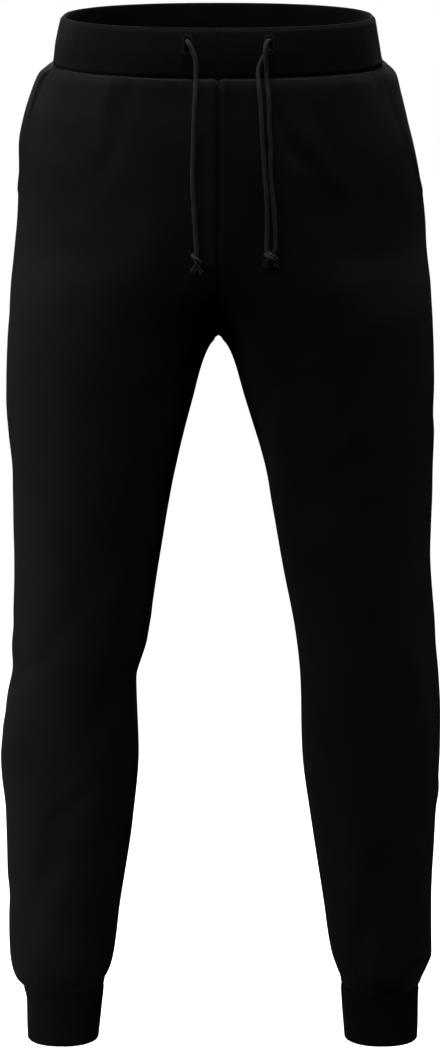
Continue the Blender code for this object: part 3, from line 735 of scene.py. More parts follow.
# Folds: a soft ridge (+) or trough (-) laid on one leg. around is the place round the leg, 0 at the
# side seam, +1 at the front's inner seam and -1 at the back's. slant turns the fold's length from
# level (0 degrees) to upright (90), rising towards the inner seam, and bow bends it.
FOLDS = (
    # side,  around, height, length, width, depth,  slant, bow
    # the largest ones, which the garment's form has too
    ("right", +0.86, -0.600, 0.110, 0.026, +0.0040, 80, 0),
    ("right", +0.70, -0.655, 0.090, 0.030, -0.0040, 25, 0),
    ("right", -0.45, -0.640, 0.130, 0.030, -0.0060, 12, 0),
    ("right", -0.55, -0.690, 0.110, 0.028, -0.0050, -10, 0),
    ("right", +0.40, -0.830, 0.160, 0.034, -0.0035, 62, 0),
    ("right", -0.50, -0.880, 0.100, 0.028, -0.0045, 15, 0),
    ("left", +0.80, -0.360, 0.160, 0.034, -0.0040, -50, 0),
    ("left", +0.28, -0.665, 0.110, 0.030, +0.0035, 75, 0),
    ("left", -0.50, -0.650, 0.130, 0.030, -0.0060, -14, 0),
    ("left", -0.42, -0.705, 0.100, 0.026, -0.0050, 10, 0),
    ("left", +0.55, -0.860, 0.150, 0.032, -0.0035, -60, 0),
    ("left", -0.45, -0.890, 0.100, 0.028, -0.0045, -12, 0),
    # right leg, front: sweep from the inner thigh down to the outer knee, and wrinkles on the calf
    ("right", +0.62, -0.500, 0.170, 0.030, -0.0022, 58, 0.3),
    ("right", +0.34, -0.610, 0.110, 0.020, -0.0022, 36, 0.3),
    ("right", +0.14, -0.668, 0.080, 0.018, +0.0016, 30, 0),
    ("right", +0.55, -0.728, 0.070, 0.010, +0.0010, 40, 0.5),
    ("right", +0.46, -0.762, 0.060, 0.009, -0.0011, 28, -0.5),
    ("right", +0.50, -0.790, 0.050, 0.008, +0.0009, 34, 0.4),
    ("right", +0.20, -0.800, 0.090, 0.018, -0.0015, 24, 0),
    ("right", +0.30, -0.905, 0.080, 0.016, +0.0016, -20, 0.4),
    ("right", +0.70, -0.880, 0.070, 0.014, -0.0014, -35, 0),
    ("right", +0.10, -0.622, 0.150, 0.024, -0.0034, 8, 0),
    ("right", +0.14, -0.705, 0.120, 0.034, +0.0026, 16, 0),
    ("right", +0.16, -0.845, 0.110, 0.020, -0.0018, 18, 0.2),
    # right leg, front: faint drags from the fork and beside the pocket
    ("right", +0.80, -0.330, 0.120, 0.018, -0.0014, 30, 0.3),
    ("right", +0.88, -0.300, 0.090, 0.013, +0.0009, 18, 0.3),
    ("right", +0.36, -0.095, 0.080, 0.020, +0.0014, -62, 0),
    ("right", +0.62, -0.085, 0.070, 0.014, -0.0010, 76, 0.2),
    # left leg, front: diagonal drags from the fork, the break above the knee, and the outer ridge
    ("left", +0.52, -0.395, 0.110, 0.018, +0.0013, -46, 0.2),
    ("left", +0.60, -0.430, 0.080, 0.012, -0.0011, -40, 0),
    ("left", +0.66, -0.320, 0.070, 0.012, +0.0010, -28, 0.3),
    ("left", +0.50, -0.545, 0.170, 0.024, +0.0018, 60, -0.2),
    ("left", +0.40, -0.600, 0.150, 0.026, -0.0022, 56, -0.2),
    ("left", +0.07, -0.600, 0.190, 0.022, +0.0022, 84, 0),
    ("left", +0.72, -0.690, 0.070, 0.012, -0.0012, 24, 0.3),
    ("left", +0.30, -0.770, 0.100, 0.018, -0.0013, 40, 0),
    ("left", +0.68, -0.800, 0.060, 0.010, +0.0009, -30, 0.4),
    ("left", +0.32, -0.910, 0.080, 0.016, +0.0015, 22, 0.4),
    ("left", +0.74, -0.085, 0.060, 0.012, -0.0018, 70, 0.4),
    ("left", +0.62, -0.105, 0.080, 0.016, +0.0016, 62, 0.2),
    # backs: smiles under the seat, drags into the fork, and short folds behind the knees
    ("right", -0.62, -0.285, 0.150, 0.018, -0.0030, 12, 0.9),
    ("right", -0.70, -0.312, 0.110, 0.013, +0.0015, 18, 0.9),
    ("right", -0.84, -0.262, 0.090, 0.014, -0.0016, 42, 0.3),
    ("right", -0.36, -0.345, 0.110, 0.016, -0.0014, -24, 0.3),
    ("right", -0.66, -0.430, 0.120, 0.020, -0.0014, 52, 0),
    ("right", -0.38, -0.585, 0.090, 0.013, -0.0022, -16, 0.6),
    ("right", -0.62, -0.612, 0.100, 0.012, +0.0020, 20, 0.6),
    ("right", -0.30, -0.662, 0.080, 0.011, +0.0018, 14, -0.6),
    ("right", -0.66, -0.662, 0.070, 0.010, -0.0020, -22, 0.6),
    ("right", -0.42, -0.730, 0.090, 0.014, -0.0018, 26, 0),
    ("right", -0.60, -0.800, 0.080, 0.014, +0.0014, -28, 0.3),
    ("right", -0.34, -0.850, 0.080, 0.013, -0.0016, -18, 0.5),
    ("right", -0.66, -0.912, 0.080, 0.012, +0.0018, 12, 0.5),
    ("left", -0.60, -0.292, 0.150, 0.018, -0.0030, 9, 0.9),
    ("left", -0.72, -0.320, 0.100, 0.013, +0.0014, 22, 0.9),
    ("left", -0.86, -0.255, 0.090, 0.014, -0.0015, 46, 0.3),
    ("left", -0.34, -0.360, 0.120, 0.018, -0.0015, -30, 0.3),
    ("left", -0.70, -0.455, 0.110, 0.020, -0.0013, 48, 0),
    ("left", -0.36, -0.600, 0.090, 0.012, -0.0022, 14, 0.6),
    ("left", -0.64, -0.618, 0.090, 0.012, +0.0019, -18, 0.6),
    ("left", -0.28, -0.680, 0.080, 0.011, +0.0017, -12, -0.6),
    ("left", -0.64, -0.676, 0.080, 0.010, -0.0019, 24, 0.6),
    ("left", -0.46, -0.748, 0.090, 0.014, -0.0016, -24, 0),
    ("left", -0.62, -0.812, 0.080, 0.013, +0.0013, 30, 0.3),
    ("left", -0.36, -0.862, 0.080, 0.013, -0.0015, 16, 0.5),
    ("left", -0.60, -0.918, 0.080, 0.012, +0.0017, -14, 0.5),
    # outer sides
    ("right", -0.06, -0.300, 0.120, 0.020, -0.0014, 40, 0),
    ("right", -0.10, -0.560, 0.110, 0.018, -0.0016, -34, 0.3),
    ("right", -0.04, -0.760, 0.100, 0.016, +0.0013, 28, 0.3),
    ("left", -0.08, -0.330, 0.120, 0.020, -0.0014, -44, 0),
    ("left", -0.12, -0.545, 0.110, 0.018, -0.0016, 36, 0.3),
    ("left", -0.06, -0.740, 0.100, 0.016, +0.0013, -26, 0.3),
)


def soft_noise(u, v, seed):
    """Smooth random hills, about one to each unit of u and v, from -1 to 1."""
    hills = np.random.default_rng(seed).uniform(-1, 1, (64, 64))
    iu, iv = np.floor(u).astype(int), np.floor(v).astype(int)
    fu, fv = smooth_step(u - iu), smooth_step(v - iv)
    corner = [[hills[(iu + a) % 64, (iv + b) % 64] for b in (0, 1)] for a in (0, 1)]
    low = corner[0][0] * (1 - fu) + corner[1][0] * fu
    high = corner[0][1] * (1 - fu) + corner[1][1] * fu
    return low * (1 - fv) + high * fv


def uneven_pleats(place, pitch, seed):
    """Soft pleats of uneven width and strength along a line, from 0 to 1."""
    flat = np.zeros_like(place)
    phase = place / pitch + 0.45 * soft_noise(place / (2.6 * pitch), flat, seed)
    strength = 0.62 + 0.38 * soft_noise(place / (1.7 * pitch), flat + 9, seed)
    return strength * (0.5 + 0.5 * np.cos(2 * np.pi * phase)) ** 1.3


def folds_lift(side, around, heights):
    """How far the folds lift the cloth out of the plain form, for rows by columns of places."""
    girth = (at_heights("out_" + side, heights) * 1.6)[:, None]
    lifted = np.zeros_like(around)
    for fold_side, place, level, length, width, depth, slant, bow in FOLDS:
        if fold_side != side:
            continue
        sideways = around - place
        sideways = np.where(heights[:, None] < FORK_ZONE[0], (sideways + 1) % 2 - 1, sideways)
        across, up = sideways * girth, heights[:, None] - level
        turn = math.radians(slant)
        along = across * math.cos(turn) + up * math.sin(turn)
        off = up * math.cos(turn) - across * math.sin(turn) - bow * along**2 / length
        lifted += depth * np.exp(-((off / width) ** 2) * 2) * smooth_step(1.5 - np.abs(along) * 2 / length)
    return lifted


def mouth_width(heights):
    """How far forward of the side seam the pocket mouth lies, along the cloth."""
    drop = (WAIST_SEAM - heights) / (WAIST_SEAM - POCKET_MOUTH_BOTTOM)
    return POCKET_MOUTH_WIDTH * np.sqrt(np.maximum(0.0, 1 - np.maximum(0.0, drop) ** 2.6))


# The cloth's own surface: easing under the waistband, gathers over the cuffs, and seams drawn in.
EASE_PITCH = 0.0165
EASE_ROLL = 0.0050
EASE_LIFT = 0.0019
EASE_RISES = 0.0050
EASE_FADES = 0.0160
EASE_SIDEWAYS = 0.060  # the roll is full this far from the side seam
ROLL_AT_SIDE = 0.3  # and this share of it is left at the seam
GATHER_PITCH = 0.0105
GATHER_LIFT = 0.0011
GATHER_FADES = 0.020
GATHER_FOOT = 0.006  # the gathers stay full this far above the cuff
WAIST_TUCK = 0.0016  # how far the cloth is drawn in right at the waist seam
CUFF_TUCK = 0.0012  # and right at the cuff seam
TUCK_HEIGHT = 0.0018
MOUTH_GAPE = 0.0030
MOUTH_GAPE_FADES = 0.016
SEAM_CALM = 0.020  # how far from the inner seam the cloth lies still
PLEAT_CALM = 0.012  # and how far from any seam its pleats do
SEAM_DIP = 0.0013
SEAM_DIP_WIDTH = 0.0020
MIDDLE_DIP = 0.0062
MIDDLE_DIP_WIDTH = 0.0024
MIDDLE_DIP_BEHIND = 0.7  # the share of it that the back has
MIDDLE_SEAM_FLATTENS = (-0.150, -0.250)  # between these heights the dip grows shallower
MIDDLE_SEAM_LOSES = 0.7
SEAM_RIDGE = 0.0007  # the seam's turned edges lift the cloth beside it: how far, where and how wide
SEAM_RIDGE_PLACE = 0.0062
SEAM_RIDGE_WIDTH = 0.0026
PUCKER_PITCH = 0.0095
PUCKER_STRENGTH = 0.10

# Nothing along a seam is even: by how much each thing varies, and over about what length.
REACH_VARIES = (0.5, 0.020)
PUFFS_VARY = (0.6, 0.055)
ROLL_VARIES = (0.22, 0.024)
GATHERS_VARY = (0.7, 0.018)
PUCKERS_WANDER = (3, 0.03)

# Low hills all over the cloth: their height, how many go round a panel, shift, length down it, seed.
CLOTH_HILLS = ((0.0011, 3.4, 5, 0.085, 11), (0.0006, 9, 7, 0.030, 13))


def bell(distance, width):
    """A smooth bump of height 1 at a distance of nought."""
    return np.exp(-((distance / width) ** 2))


def unevenness(place, varies, shift, seed):
    """Soft random change with the place along a seam."""
    most, length = varies
    return most * soft_noise(place / length, place * 0 + shift, seed)


def cloth_lift(side, face, heights, shares):
    """How far the finished cloth stands out of the plain form."""
    even = steady_curve(heights, even_levels, even_girths[side, face])[:, None]
    around = shares * (1 if face == "front" else -1)
    level = np.broadcast_to(heights[:, None], shares.shape)
    from_side, from_inner = shares * even, (1 - shares) * even
    seed = 20 + 2 * SIDES.index(side) + (face == "back")

    off_seam = smooth_step(from_inner / SEAM_CALM)
    calm = smooth_step(np.minimum(from_side, from_inner) / PLEAT_CALM)
    lift = folds_lift(side, around, heights) * np.where(level < FORK_ZONE[0], 1, off_seam)
    for rise, count, shift, tall, hill_seed in CLOTH_HILLS:
        hills = soft_noise(around * count + shift, level / tall, hill_seed + SIDES.index(side))
        lift += rise * hills * off_seam

    # Under the waistband the extra cloth rolls out, and its pleats run down from the seam.
    girths = even_girths[side, face]
    at_waist, at_cuff = (float(np.interp(-h, -even_levels, girths)) for h in (WAIST_SEAM, CUFF_SEAM))
    eased, gathered = (1 - shares) * at_waist, shares * at_cuff
    reach = 0.8 + unevenness(eased, REACH_VARIES, 0, seed + 40) * calm
    below = np.maximum(0, WAIST_SEAM - level)
    below_waist = smooth_step(below / EASE_RISES) * np.exp(-((below / EASE_FADES) ** 1.4)) ** reach
    puffs = uneven_pleats(eased, EASE_PITCH, seed) * calm * (0.8 + unevenness(eased, PUFFS_VARY, 3, seed))
    roll = ROLL_AT_SIDE + (1 - ROLL_AT_SIDE) * smooth_step(from_side / EASE_SIDEWAYS)
    roll *= 1 + unevenness(eased, ROLL_VARIES, 6, seed) * calm
    lift += (EASE_ROLL * roll + EASE_LIFT * puffs) * below_waist
    lift -= WAIST_TUCK * bell(WAIST_SEAM - level, TUCK_HEIGHT)

    # Over the cuff it is gathered in smaller pleats of uneven length.
    above_cuff = np.exp(-np.maximum(0, (level - CUFF_SEAM - GATHER_FOOT) / GATHER_FADES) ** 1.2)
    longer = 0.8 + unevenness(gathered, GATHERS_VARY, 0, seed + 60) * calm
    pleats = uneven_pleats(gathered, GATHER_PITCH, seed + 5) * calm - 0.35
    lift += GATHER_LIFT * pleats * above_cuff**longer
    lift -= CUFF_TUCK * bell(level - CUFF_SEAM, TUCK_HEIGHT)

    # Seams draw the cloth in along the side, along the inside of the leg, and deepest down the middle.
    wander = unevenness(level, PUCKERS_WANDER, 0, seed)
    pucker = 1 + PUCKER_STRENGTH * np.cos(2 * np.pi * level / PUCKER_PITCH + wander)
    lift -= SEAM_DIP * pucker * bell(from_side, SEAM_DIP_WIDTH)
    on_leg = level < CROTCH
    flat_from, flat_to = MIDDLE_SEAM_FLATTENS
    middle = 1 - MIDDLE_SEAM_LOSES * smooth_step((level - flat_from) / (flat_to - flat_from))
    dip = np.where(on_leg, SEAM_DIP, MIDDLE_DIP * middle * (1 if face == "front" else MIDDLE_DIP_BEHIND))
    lift -= dip * pucker * bell(from_inner, np.where(on_leg, SEAM_DIP_WIDTH, MIDDLE_DIP_WIDTH))
    ridge = np.where(on_leg, 0, SEAM_RIDGE * middle)
    lift += ridge * bell(from_inner - SEAM_RIDGE_PLACE, SEAM_RIDGE_WIDTH)

    # The pocket mouth's folded edge stands off the hip.
    if face == "front":
        forward = from_side - mouth_width(heights)[:, None]
        drop = np.clip((WAIST_SEAM - level) / (WAIST_SEAM - POCKET_MOUTH_BOTTOM), 0, 1)
        gape = np.sin(np.pi * drop) ** 0.7
        lift += MOUTH_GAPE * gape * np.exp(-np.maximum(forward, 0) / MOUTH_GAPE_FADES) * (forward > -0.0005)
    return lift


def cloth_points(side, face, heights, shares, depth=0.0):
    """Points of the finished cloth's outer face, or that far inside it."""
    out = cloth_lift(side, face, heights, shares) - depth
    return bare_points(side, face, heights, shares) + outward(side, face, heights, shares) * out[..., None]


MOUTH_FOOT_ROWS = POCKET_MOUTH_BOTTOM + np.array((0.0045, 0.0030, 0.0015, 0.0006, 0.0))


WAIST_ROWS = 20
WAIST_ROWS_REACH = 0.026
ANKLE_ROWS = 30
ANKLE_ROWS_REACH = 0.050
LEG_ROWS = 236


def panel_heights():
    """Heights of a panel's rows, closer together at the waist, the pocket mouth's foot and the ankle."""
    ease = WAIST_SEAM - WAIST_ROWS_REACH * np.linspace(0, 1, WAIST_ROWS) ** 1.5
    ankle = CUFF_SEAM + ANKLE_ROWS_REACH * np.linspace(0, 1, ANKLE_ROWS)[::-1] ** 1.4
    between = np.linspace(ease[-1], ankle[0], LEG_ROWS)[1:-1]
    between = between[np.abs(between - MOUTH_FOOT_ROWS.mean()) > 0.0040]
    return np.sort(np.concatenate([ease, between, MOUTH_FOOT_ROWS, ankle]))[::-1]


EDGE_COLUMNS = 11
EDGE_REACH = 0.010
MIDDLE_COLUMNS = 76


def columns_between(start, end):
    """Distances along each row, closer together at both edges, where the cloth rolls into its seams."""
    near = EDGE_REACH * np.linspace(0, 1, EDGE_COLUMNS + 1) ** 1.6
    first, last = start[:, None] + near, (end[:, None] - near)[:, ::-1]
    middle = first[:, -1:] + (last[:, :1] - first[:, -1:]) * np.linspace(0, 1, MIDDLE_COLUMNS + 1)[1:-1]
    return np.concatenate([first, middle, last], axis=1)


def closed_mesh(name, points, faces, unrolled):
    """A smooth closed mesh, its faces turned outwards, that keeps each corner's place on the flat cloth."""
    a, b, c, d = (points[faces[:, k]] for k in range(4))
    if np.sum(a * (np.cross(b, c) + np.cross(c, d))) < 0:
        faces, unrolled = faces[:, ::-1], unrolled[:, ::-1]
    mesh = bpy.data.meshes.new(name)
    mesh.from_pydata(points.tolist(), [], faces.tolist())
    places = np.ascontiguousarray(unrolled, np.float32)
    mesh.uv_layers.new(name="lay").data.foreach_set("uv", places.ravel())
    mesh.shade_smooth()
    return mesh


def square_corners(grid):
    """A grid's values at the four corners of each of its squares."""
    corners = np.stack([grid[:-1, :-1], grid[1:, :-1], grid[1:, 1:], grid[:-1, 1:]], axis=2)
    return corners.reshape(-1, 4, *grid.shape[2:])


def wall_mesh(name, outer, inner, lay):
    """A closed wall between two grids of points, rows by columns. lay is the unrolled cloth's place."""
    rows, cols = outer.shape[:2]
    total = rows * cols
    number = np.arange(total).reshape(rows, cols)
    faces, unrolled = [square_corners(number)], [square_corners(lay)]
    faces.append(faces[0][:, ::-1] + total)
    unrolled.append(unrolled[0][:, ::-1])
    for edge in (np.s_[0], np.s_[-1, ::-1], np.s_[::-1, 0], np.s_[:, -1]):
        line, place = number[edge], lay[edge]
        faces.append(np.stack([line[:-1], line[1:], line[1:] + total, line[:-1] + total], axis=1))
        unrolled.append(np.stack([place[:-1], place[1:], place[1:], place[:-1]], axis=1))
    points = np.concatenate([outer.reshape(-1, 3), inner.reshape(-1, 3)])
    return closed_mesh(name, points, np.concatenate(faces), np.concatenate(unrolled))


# Jersey face: upright rows of V stitches, worked out from the unrolled cloth's place in metres.
jersey_face, jersey_in, jersey_out = new_group(
    "jersey_face",
    "ShaderNodeTree",
    (("Lay", "Vector"), ("Wale Width", "Float", 0.0011), ("Course Height", "Float", 0.0008)),
    (("Height", "Float"),),
)
lay_axes = add_node(jersey_face, "ShaderNodeSeparateXYZ", {"Vector": jersey_in["Lay"]})
wale = reckon(jersey_face, "DIVIDE", lay_axes.outputs["X"], jersey_in["Wale Width"])
wale_sine = reckon(jersey_face, "SINE", reckon(jersey_face, "MULTIPLY", wale, math.pi))
wale_rise = reckon(jersey_face, "ABSOLUTE", wale_sine)
course = reckon(jersey_face, "DIVIDE", lay_axes.outputs["Y"], jersey_in["Course Height"])
slanted = reckon(jersey_face, "MULTIPLY_ADD", wale_rise, 0.9, course)
course_rise = reckon(jersey_face, "SINE", reckon(jersey_face, "MULTIPLY", slanted, 2 * math.pi))
loop_rise = reckon(jersey_face, "MULTIPLY_ADD", course_rise, 0.22, 0.78)
jersey_face.links.new(reckon(jersey_face, "MULTIPLY", wale_rise, loop_rise), jersey_out["Height"])


KNIT_PATCH = 0.045
KNIT_FIBRE = 0.0009


def knit_material(name, dark, light, roughness, sheen, wale_width, course_height, stitch_depth, fibre_depth):
    """Cotton with a jersey face: its stitches, and its fuzz raised over them."""
    finish = (roughness, sheen, KNIT_PATCH, KNIT_FIBRE, fibre_depth)
    material, raised = cotton_material(name, dark, light, *finish)
    tree = material.node_tree
    lay = add_node(tree, "ShaderNodeUVMap", uv_map="lay")
    sizes = {"Lay": lay.outputs["UV"], "Wale Width": wale_width, "Course Height": course_height}
    face = add_node(tree, "ShaderNodeGroup", sizes, node_tree=jersey_face)
    rise = {"Height": face.outputs["Height"], "Distance": stitch_depth, "Strength": 1.0}
    stitches = add_node(tree, "ShaderNodeBump", rise)
    tree.links.new(stitches.outputs["Normal"], raised.inputs["Normal"])
    return material


FLEECE_FINISH = {
    "dark": (0.0050, 0.0050, 0.0058),
    "light": (0.0096, 0.0096, 0.0110),
    "roughness": 0.92,
    "sheen": 0.030,
    "wale_width": 0.0011,
    "course_height": 0.0008,
    "stitch_depth": 0.00016,
    "fibre_depth": 0.00030,
}
fleece_knit = knit_material("black_fleece_knit", **FLEECE_FINISH)

FOLDED_EDGE_DEPTH = 0.0030
FOLDED_EDGE_ROLL = 0.0016
FOLDED_EDGE_WIDTH = 0.016  # how far from the fold the turned-under cloth makes the edge thicker
SEAM_STITCH_OFFSET = 0.0034


def rolled_depths(from_edge, wall):
    """Depths of the outer and inner face near a folded edge, which is thicker and rounded."""
    part = np.clip(from_edge / FOLDED_EDGE_ROLL, 0, 1)
    round_off = 1 - np.sqrt(1 - (1 - part) ** 2)
    hem = wall + (FOLDED_EDGE_DEPTH - wall) * smooth_step((FOLDED_EDGE_WIDTH - from_edge) / 0.004)
    return hem / 2 * round_off, hem - hem / 2 * round_off


def lay_of(distance, heights):
    """Places on the unrolled cloth: the distance along each row, and the row's height."""
    return np.stack([distance, np.broadcast_to(heights[:, None], distance.shape)], axis=-1)


heights = panel_heights()
for side in SIDES:
    for face in ("front", "back"):
        even = steady_curve(heights, even_levels, even_girths[side, face])
        mouth = mouth_width(heights) if face == "front" else np.zeros_like(heights)
        distance = columns_between(mouth, even)
        shares = distance / even[:, None]
        from_fold = np.where(mouth[:, None] > 0.001, distance - mouth[:, None], 1)
        outer_depth, inner_depth = rolled_depths(from_fold, CLOTH_WALL)
        outer = cloth_points(side, face, heights, shares, outer_depth)
        inner = cloth_points(side, face, heights, shares, inner_depth)
        mesh = wall_mesh(f"{face}_{side}", outer, inner, lay_of(distance, heights))
        panel = placed(f"{face}_{side}_cloth", mesh, fleece_knit)
        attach(panel, "root")
        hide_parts(*[f"{face}_{side}_{stretch}" for stretch in PANEL_STRETCHES])

# ---------------------------------------------------------------------------------------------
# Pockets: a slant pocket at each hip. The facing seen in its mouth and the bag behind the front
# panel are one piece of the legs' own cloth, sewn into the side seam and hung from the waist seam.
# ---------------------------------------------------------------------------------------------
BAG_WIDTH = 0.150
BAG_BOTTOM = -0.250
BAG_WALL = 0.0012
BAG_CLEARANCE = 0.0020
BAG_SAG = 0.0012
BAG_PUFF = 0.0010
POCKET_TOP_GAP = 0.0004  # between the pocket's top edge and the waist seam
FACING_START = 0.0002  # and between its side edge and the side seam
FACING_LEAST = 0.012  # the least width of the facing, and of the bag beyond it
FACING_AT_WAIST = 0.66  # the share of its full depth at which it lies right at the waist seam
FACING_SETTLES = 0.012  # and how far below that seam it has the full depth
POCKET_ROWS = 90
POCKET_COLUMNS = 26
# where the painted shade on the facing starts, and where it is full
FACING_PAINTED_SHADE = (0.20, 0.62)  # shares of the way from the side seam to the mouth
# the colour that painted shade darkens a tone towards
PAINTED_SHADE_BLACK = (0.0008, 0.0008, 0.0009, 1)


# Painted deep shade: a tone that falls to deep black as a painted light level on the cloth falls from 1 to 0.
painted_deep_shade, shade_in, shade_out = new_group(
    "painted_deep_shade", "ShaderNodeTree", (("Tone", "Color"), ("Light", "Float", 1.0)), (("Tone", "Color"),)
)
shaded_tone = colour_between(painted_deep_shade, shade_in["Light"], PAINTED_SHADE_BLACK, shade_in["Tone"])
painted_deep_shade.links.new(shaded_tone, shade_out["Tone"])


def paint_shade_by(material, attribute):
    """Paints shade into a material's colour: darkens it towards deep black where an attribute of the mesh is
    low.
    """
    tree = material.node_tree
    base = tree.nodes["Principled BSDF"].inputs["Base Color"]
    light = add_node(tree, "ShaderNodeAttribute", attribute_name=attribute).outputs["Fac"]
    lit = {"Tone": base.links[0].from_socket, "Light": light}
    shade = add_node(tree, "ShaderNodeGroup", lit, node_tree=painted_deep_shade)
    tree.links.new(shade.outputs["Tone"], base)


def give_attribute(mesh, name, values):
    """Stores a number for each point of a mesh, for its material or its Geometry Nodes to read."""
    made = mesh.attributes.new(name, "FLOAT", "POINT")
    made.data.foreach_set("value", np.ascontiguousarray(values, np.float32).ravel())


# Painted shade: the facing's colour darkens towards the mouth, and the bag's colour is in full painted shade.
pocket_knit = knit_material("black_pocket_knit", **FLEECE_FINISH)
paint_shade_by(pocket_knit, "painted_light")


def pocket_walls(side):
    """The facing and bag in one: level with the cloth at the side seam, then under the front panel."""
    top = WAIST_SEAM - POCKET_TOP_GAP
    levels = top - (top - BAG_BOTTOM) * np.linspace(0, 0.995, POCKET_ROWS)
    levels = levels[np.abs(levels - MOUTH_FOOT_ROWS.mean()) > 0.0044]
    levels = np.sort(np.concatenate([levels, MOUTH_FOOT_ROWS, [POCKET_MOUTH_BOTTOM - 0.0014]]))[::-1]
    level = levels[:, None]
    even = steady_curve(levels, even_levels, even_girths[side, "front"])[:, None]
    width = BAG_WIDTH * np.sqrt(np.maximum(0, 1 - ((top - level) / (top - BAG_BOTTOM)) ** 6))
    mouth = mouth_width(level)
    facing_end = FACING_START + np.maximum(mouth - FACING_START, FACING_LEAST)
    facing = FACING_START + (facing_end - FACING_START) * np.linspace(0, 1, POCKET_COLUMNS)
    bag_end = np.maximum(width, facing_end + FACING_LEAST)
    bag = facing_end + (bag_end - facing_end) * np.linspace(0, 1, POCKET_COLUMNS)[1:]
    distance = np.concatenate([facing, bag], axis=1)

    # It sinks from the side seam to its full depth under the panel. Below the mouth it starts there.
    shut = np.where(level < POCKET_MOUTH_BOTTOM - 0.0010, 1.0, 0.3 * (1 - smooth_step(mouth / 0.008)))
    sunk = np.maximum(shut, smooth_step(distance / np.maximum(0.85 * mouth, 0.001)))
    sink = (FOLDED_EDGE_DEPTH + BAG_CLEARANCE) * sunk
    sink *= FACING_AT_WAIST + (1 - FACING_AT_WAIST) * smooth_step((WAIST_SEAM - level) / FACING_SETTLES)
    puffed = BAG_PUFF * soft_noise(distance / 0.03, level / 0.04, 31)
    sink += (BAG_SAG + puffed) * smooth_step((distance - mouth) / 0.02)

    outer = cloth_points(side, "front", levels, distance / even, sink)
    inner = cloth_points(side, "front", levels, distance / even, sink + BAG_WALL)
    mesh = wall_mesh("pocket_" + side, outer, inner, lay_of(distance, levels))
    # Painted light for the painted shade: 1 towards the side seam, falling to 0 towards the mouth; the inner
    # face gets 0.
    shade_from, shade_to = FACING_PAINTED_SHADE
    across = distance / np.maximum(mouth, 0.004)
    painted_light = 1 - smooth_step((across - shade_from) / (shade_to - shade_from))
    give_attribute(mesh, "painted_light", np.stack([painted_light, 0 * painted_light]))
    area = float(np.trapz(distance[:, -1] - distance[:, 0], -levels))
    return mesh, area, float(np.ptp(distance)), float(np.ptp(levels))


for side in SIDES:
    pocket_mesh, pocket_area, pocket_width, pocket_length = pocket_walls(side)
    pocket = placed(f"pocket_{side}_bag", pocket_mesh, pocket_knit)
    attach(pocket, "root")
    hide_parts("pocket_" + side)

# ---------------------------------------------------------------------------------------------
# Waistband: a rib-knit band folded over elastic and sewn on at the waist seam, about 47 mm deep.
# The drawcord runs inside it and comes out of two upright buttonholes in front.
# ---------------------------------------------------------------------------------------------
BAND_WALL = 0.004
BAND_RIB_PITCH = 0.0028
BAND_RIB_DEPTH = 0.00022
BAND_COLUMN_STEP = 0.0007
BAND_BULGE = 0.0012
BAND_INNER_BULGE = 0.0004
BAND_TUCK = 0.0014
BAND_TUCK_HEIGHT = 0.0016
BAND_FOLD_TALL = 0.0034
BAND_FOLD_DEEP = 0.0024
# Its unevenness: each wave's height, width round the waist, shift, length down the band and seed.
BAND_WAVES = ((0.0009, 0.034, 3, 0.05, 51), (0.0004, 0.012, 8, 0.03, 52))
BUTTONHOLE_HEIGHT = -0.008
BUTTONHOLE_TALL = 0.0155
BUTTONHOLE_WIDTH = 0.0062
BUTTONHOLE_DEPTH = 0.0030
BUTTONHOLE_EDGE = 0.0020  # how wide its rounded edge is
BUTTONHOLE_LIP = 0.0007  # how far its stitched lip stands out
BUTTONHOLE_LIP_WIDTH = 0.0011
BUTTONHOLE_X = {"right": -0.0295, "left": 0.0486}
BUTTONHOLE_STRAIGHT = (BUTTONHOLE_TALL - BUTTONHOLE_WIDTH) / 2


def end_tree(tree, geometry, finish, output):
    """Ends a Geometry Nodes tree: its copies are made real and given their material."""
    real = add_node(tree, "GeometryNodeRealizeInstances", {"Geometry": geometry})
    done = add_node(tree, "GeometryNodeSetMaterial", {"Geometry": real.outputs[0], "Material": finish})
    tree.links.new(done.outputs[0], output)


# Ribs: upright rounded ribs pressed into a knit, counted round it from its "round" attribute.
rib_relief, rib_in, rib_out = new_group(
    "rib_relief",
    "GeometryNodeTree",
    (
        ("Geometry", "Geometry"),
        ("Rib Pitch", "Float", 0.003),
        ("Rib Depth", "Float", 0.0003),
        ("Finish", "Material"),
    ),
    (("Geometry", "Geometry"),),
)
place_round = add_node(rib_relief, "GeometryNodeInputNamedAttribute", {"Name": "round"}, data_type="FLOAT")
rib_strength = add_node(rib_relief, "GeometryNodeInputNamedAttribute", {"Name": "ribs_and_light"}, data_type="FLOAT")
rib_phase = reckon(rib_relief, "DIVIDE", place_round.outputs["Attribute"], rib_in["Rib Pitch"])
rib_sine = reckon(rib_relief, "SINE", reckon(rib_relief, "MULTIPLY", rib_phase, math.pi))
rib_wave = reckon(rib_relief, "ABSOLUTE", rib_sine)
rib_height = reckon(rib_relief, "SUBTRACT", reckon(rib_relief, "POWER", rib_wave, 0.7), 1.0)
rib_reach = reckon(rib_relief, "MULTIPLY", rib_height, rib_in["Rib Depth"])
rib_push = reckon(rib_relief, "MULTIPLY", rib_reach, rib_strength.outputs["Attribute"])
rib_way = add_node(rib_relief, "GeometryNodeInputNormal")
rib_offset = add_node(
    rib_relief, "ShaderNodeVectorMath", {0: rib_way.outputs[0], "Scale": rib_push}, operation="SCALE"
)
ribbed_form = add_node(
    rib_relief, "GeometryNodeSetPosition", {"Geometry": rib_in["Geometry"], "Offset": rib_offset.outputs[0]}
)
end_tree(rib_relief, ribbed_form.outputs[0], rib_in["Finish"], rib_out["Geometry"])

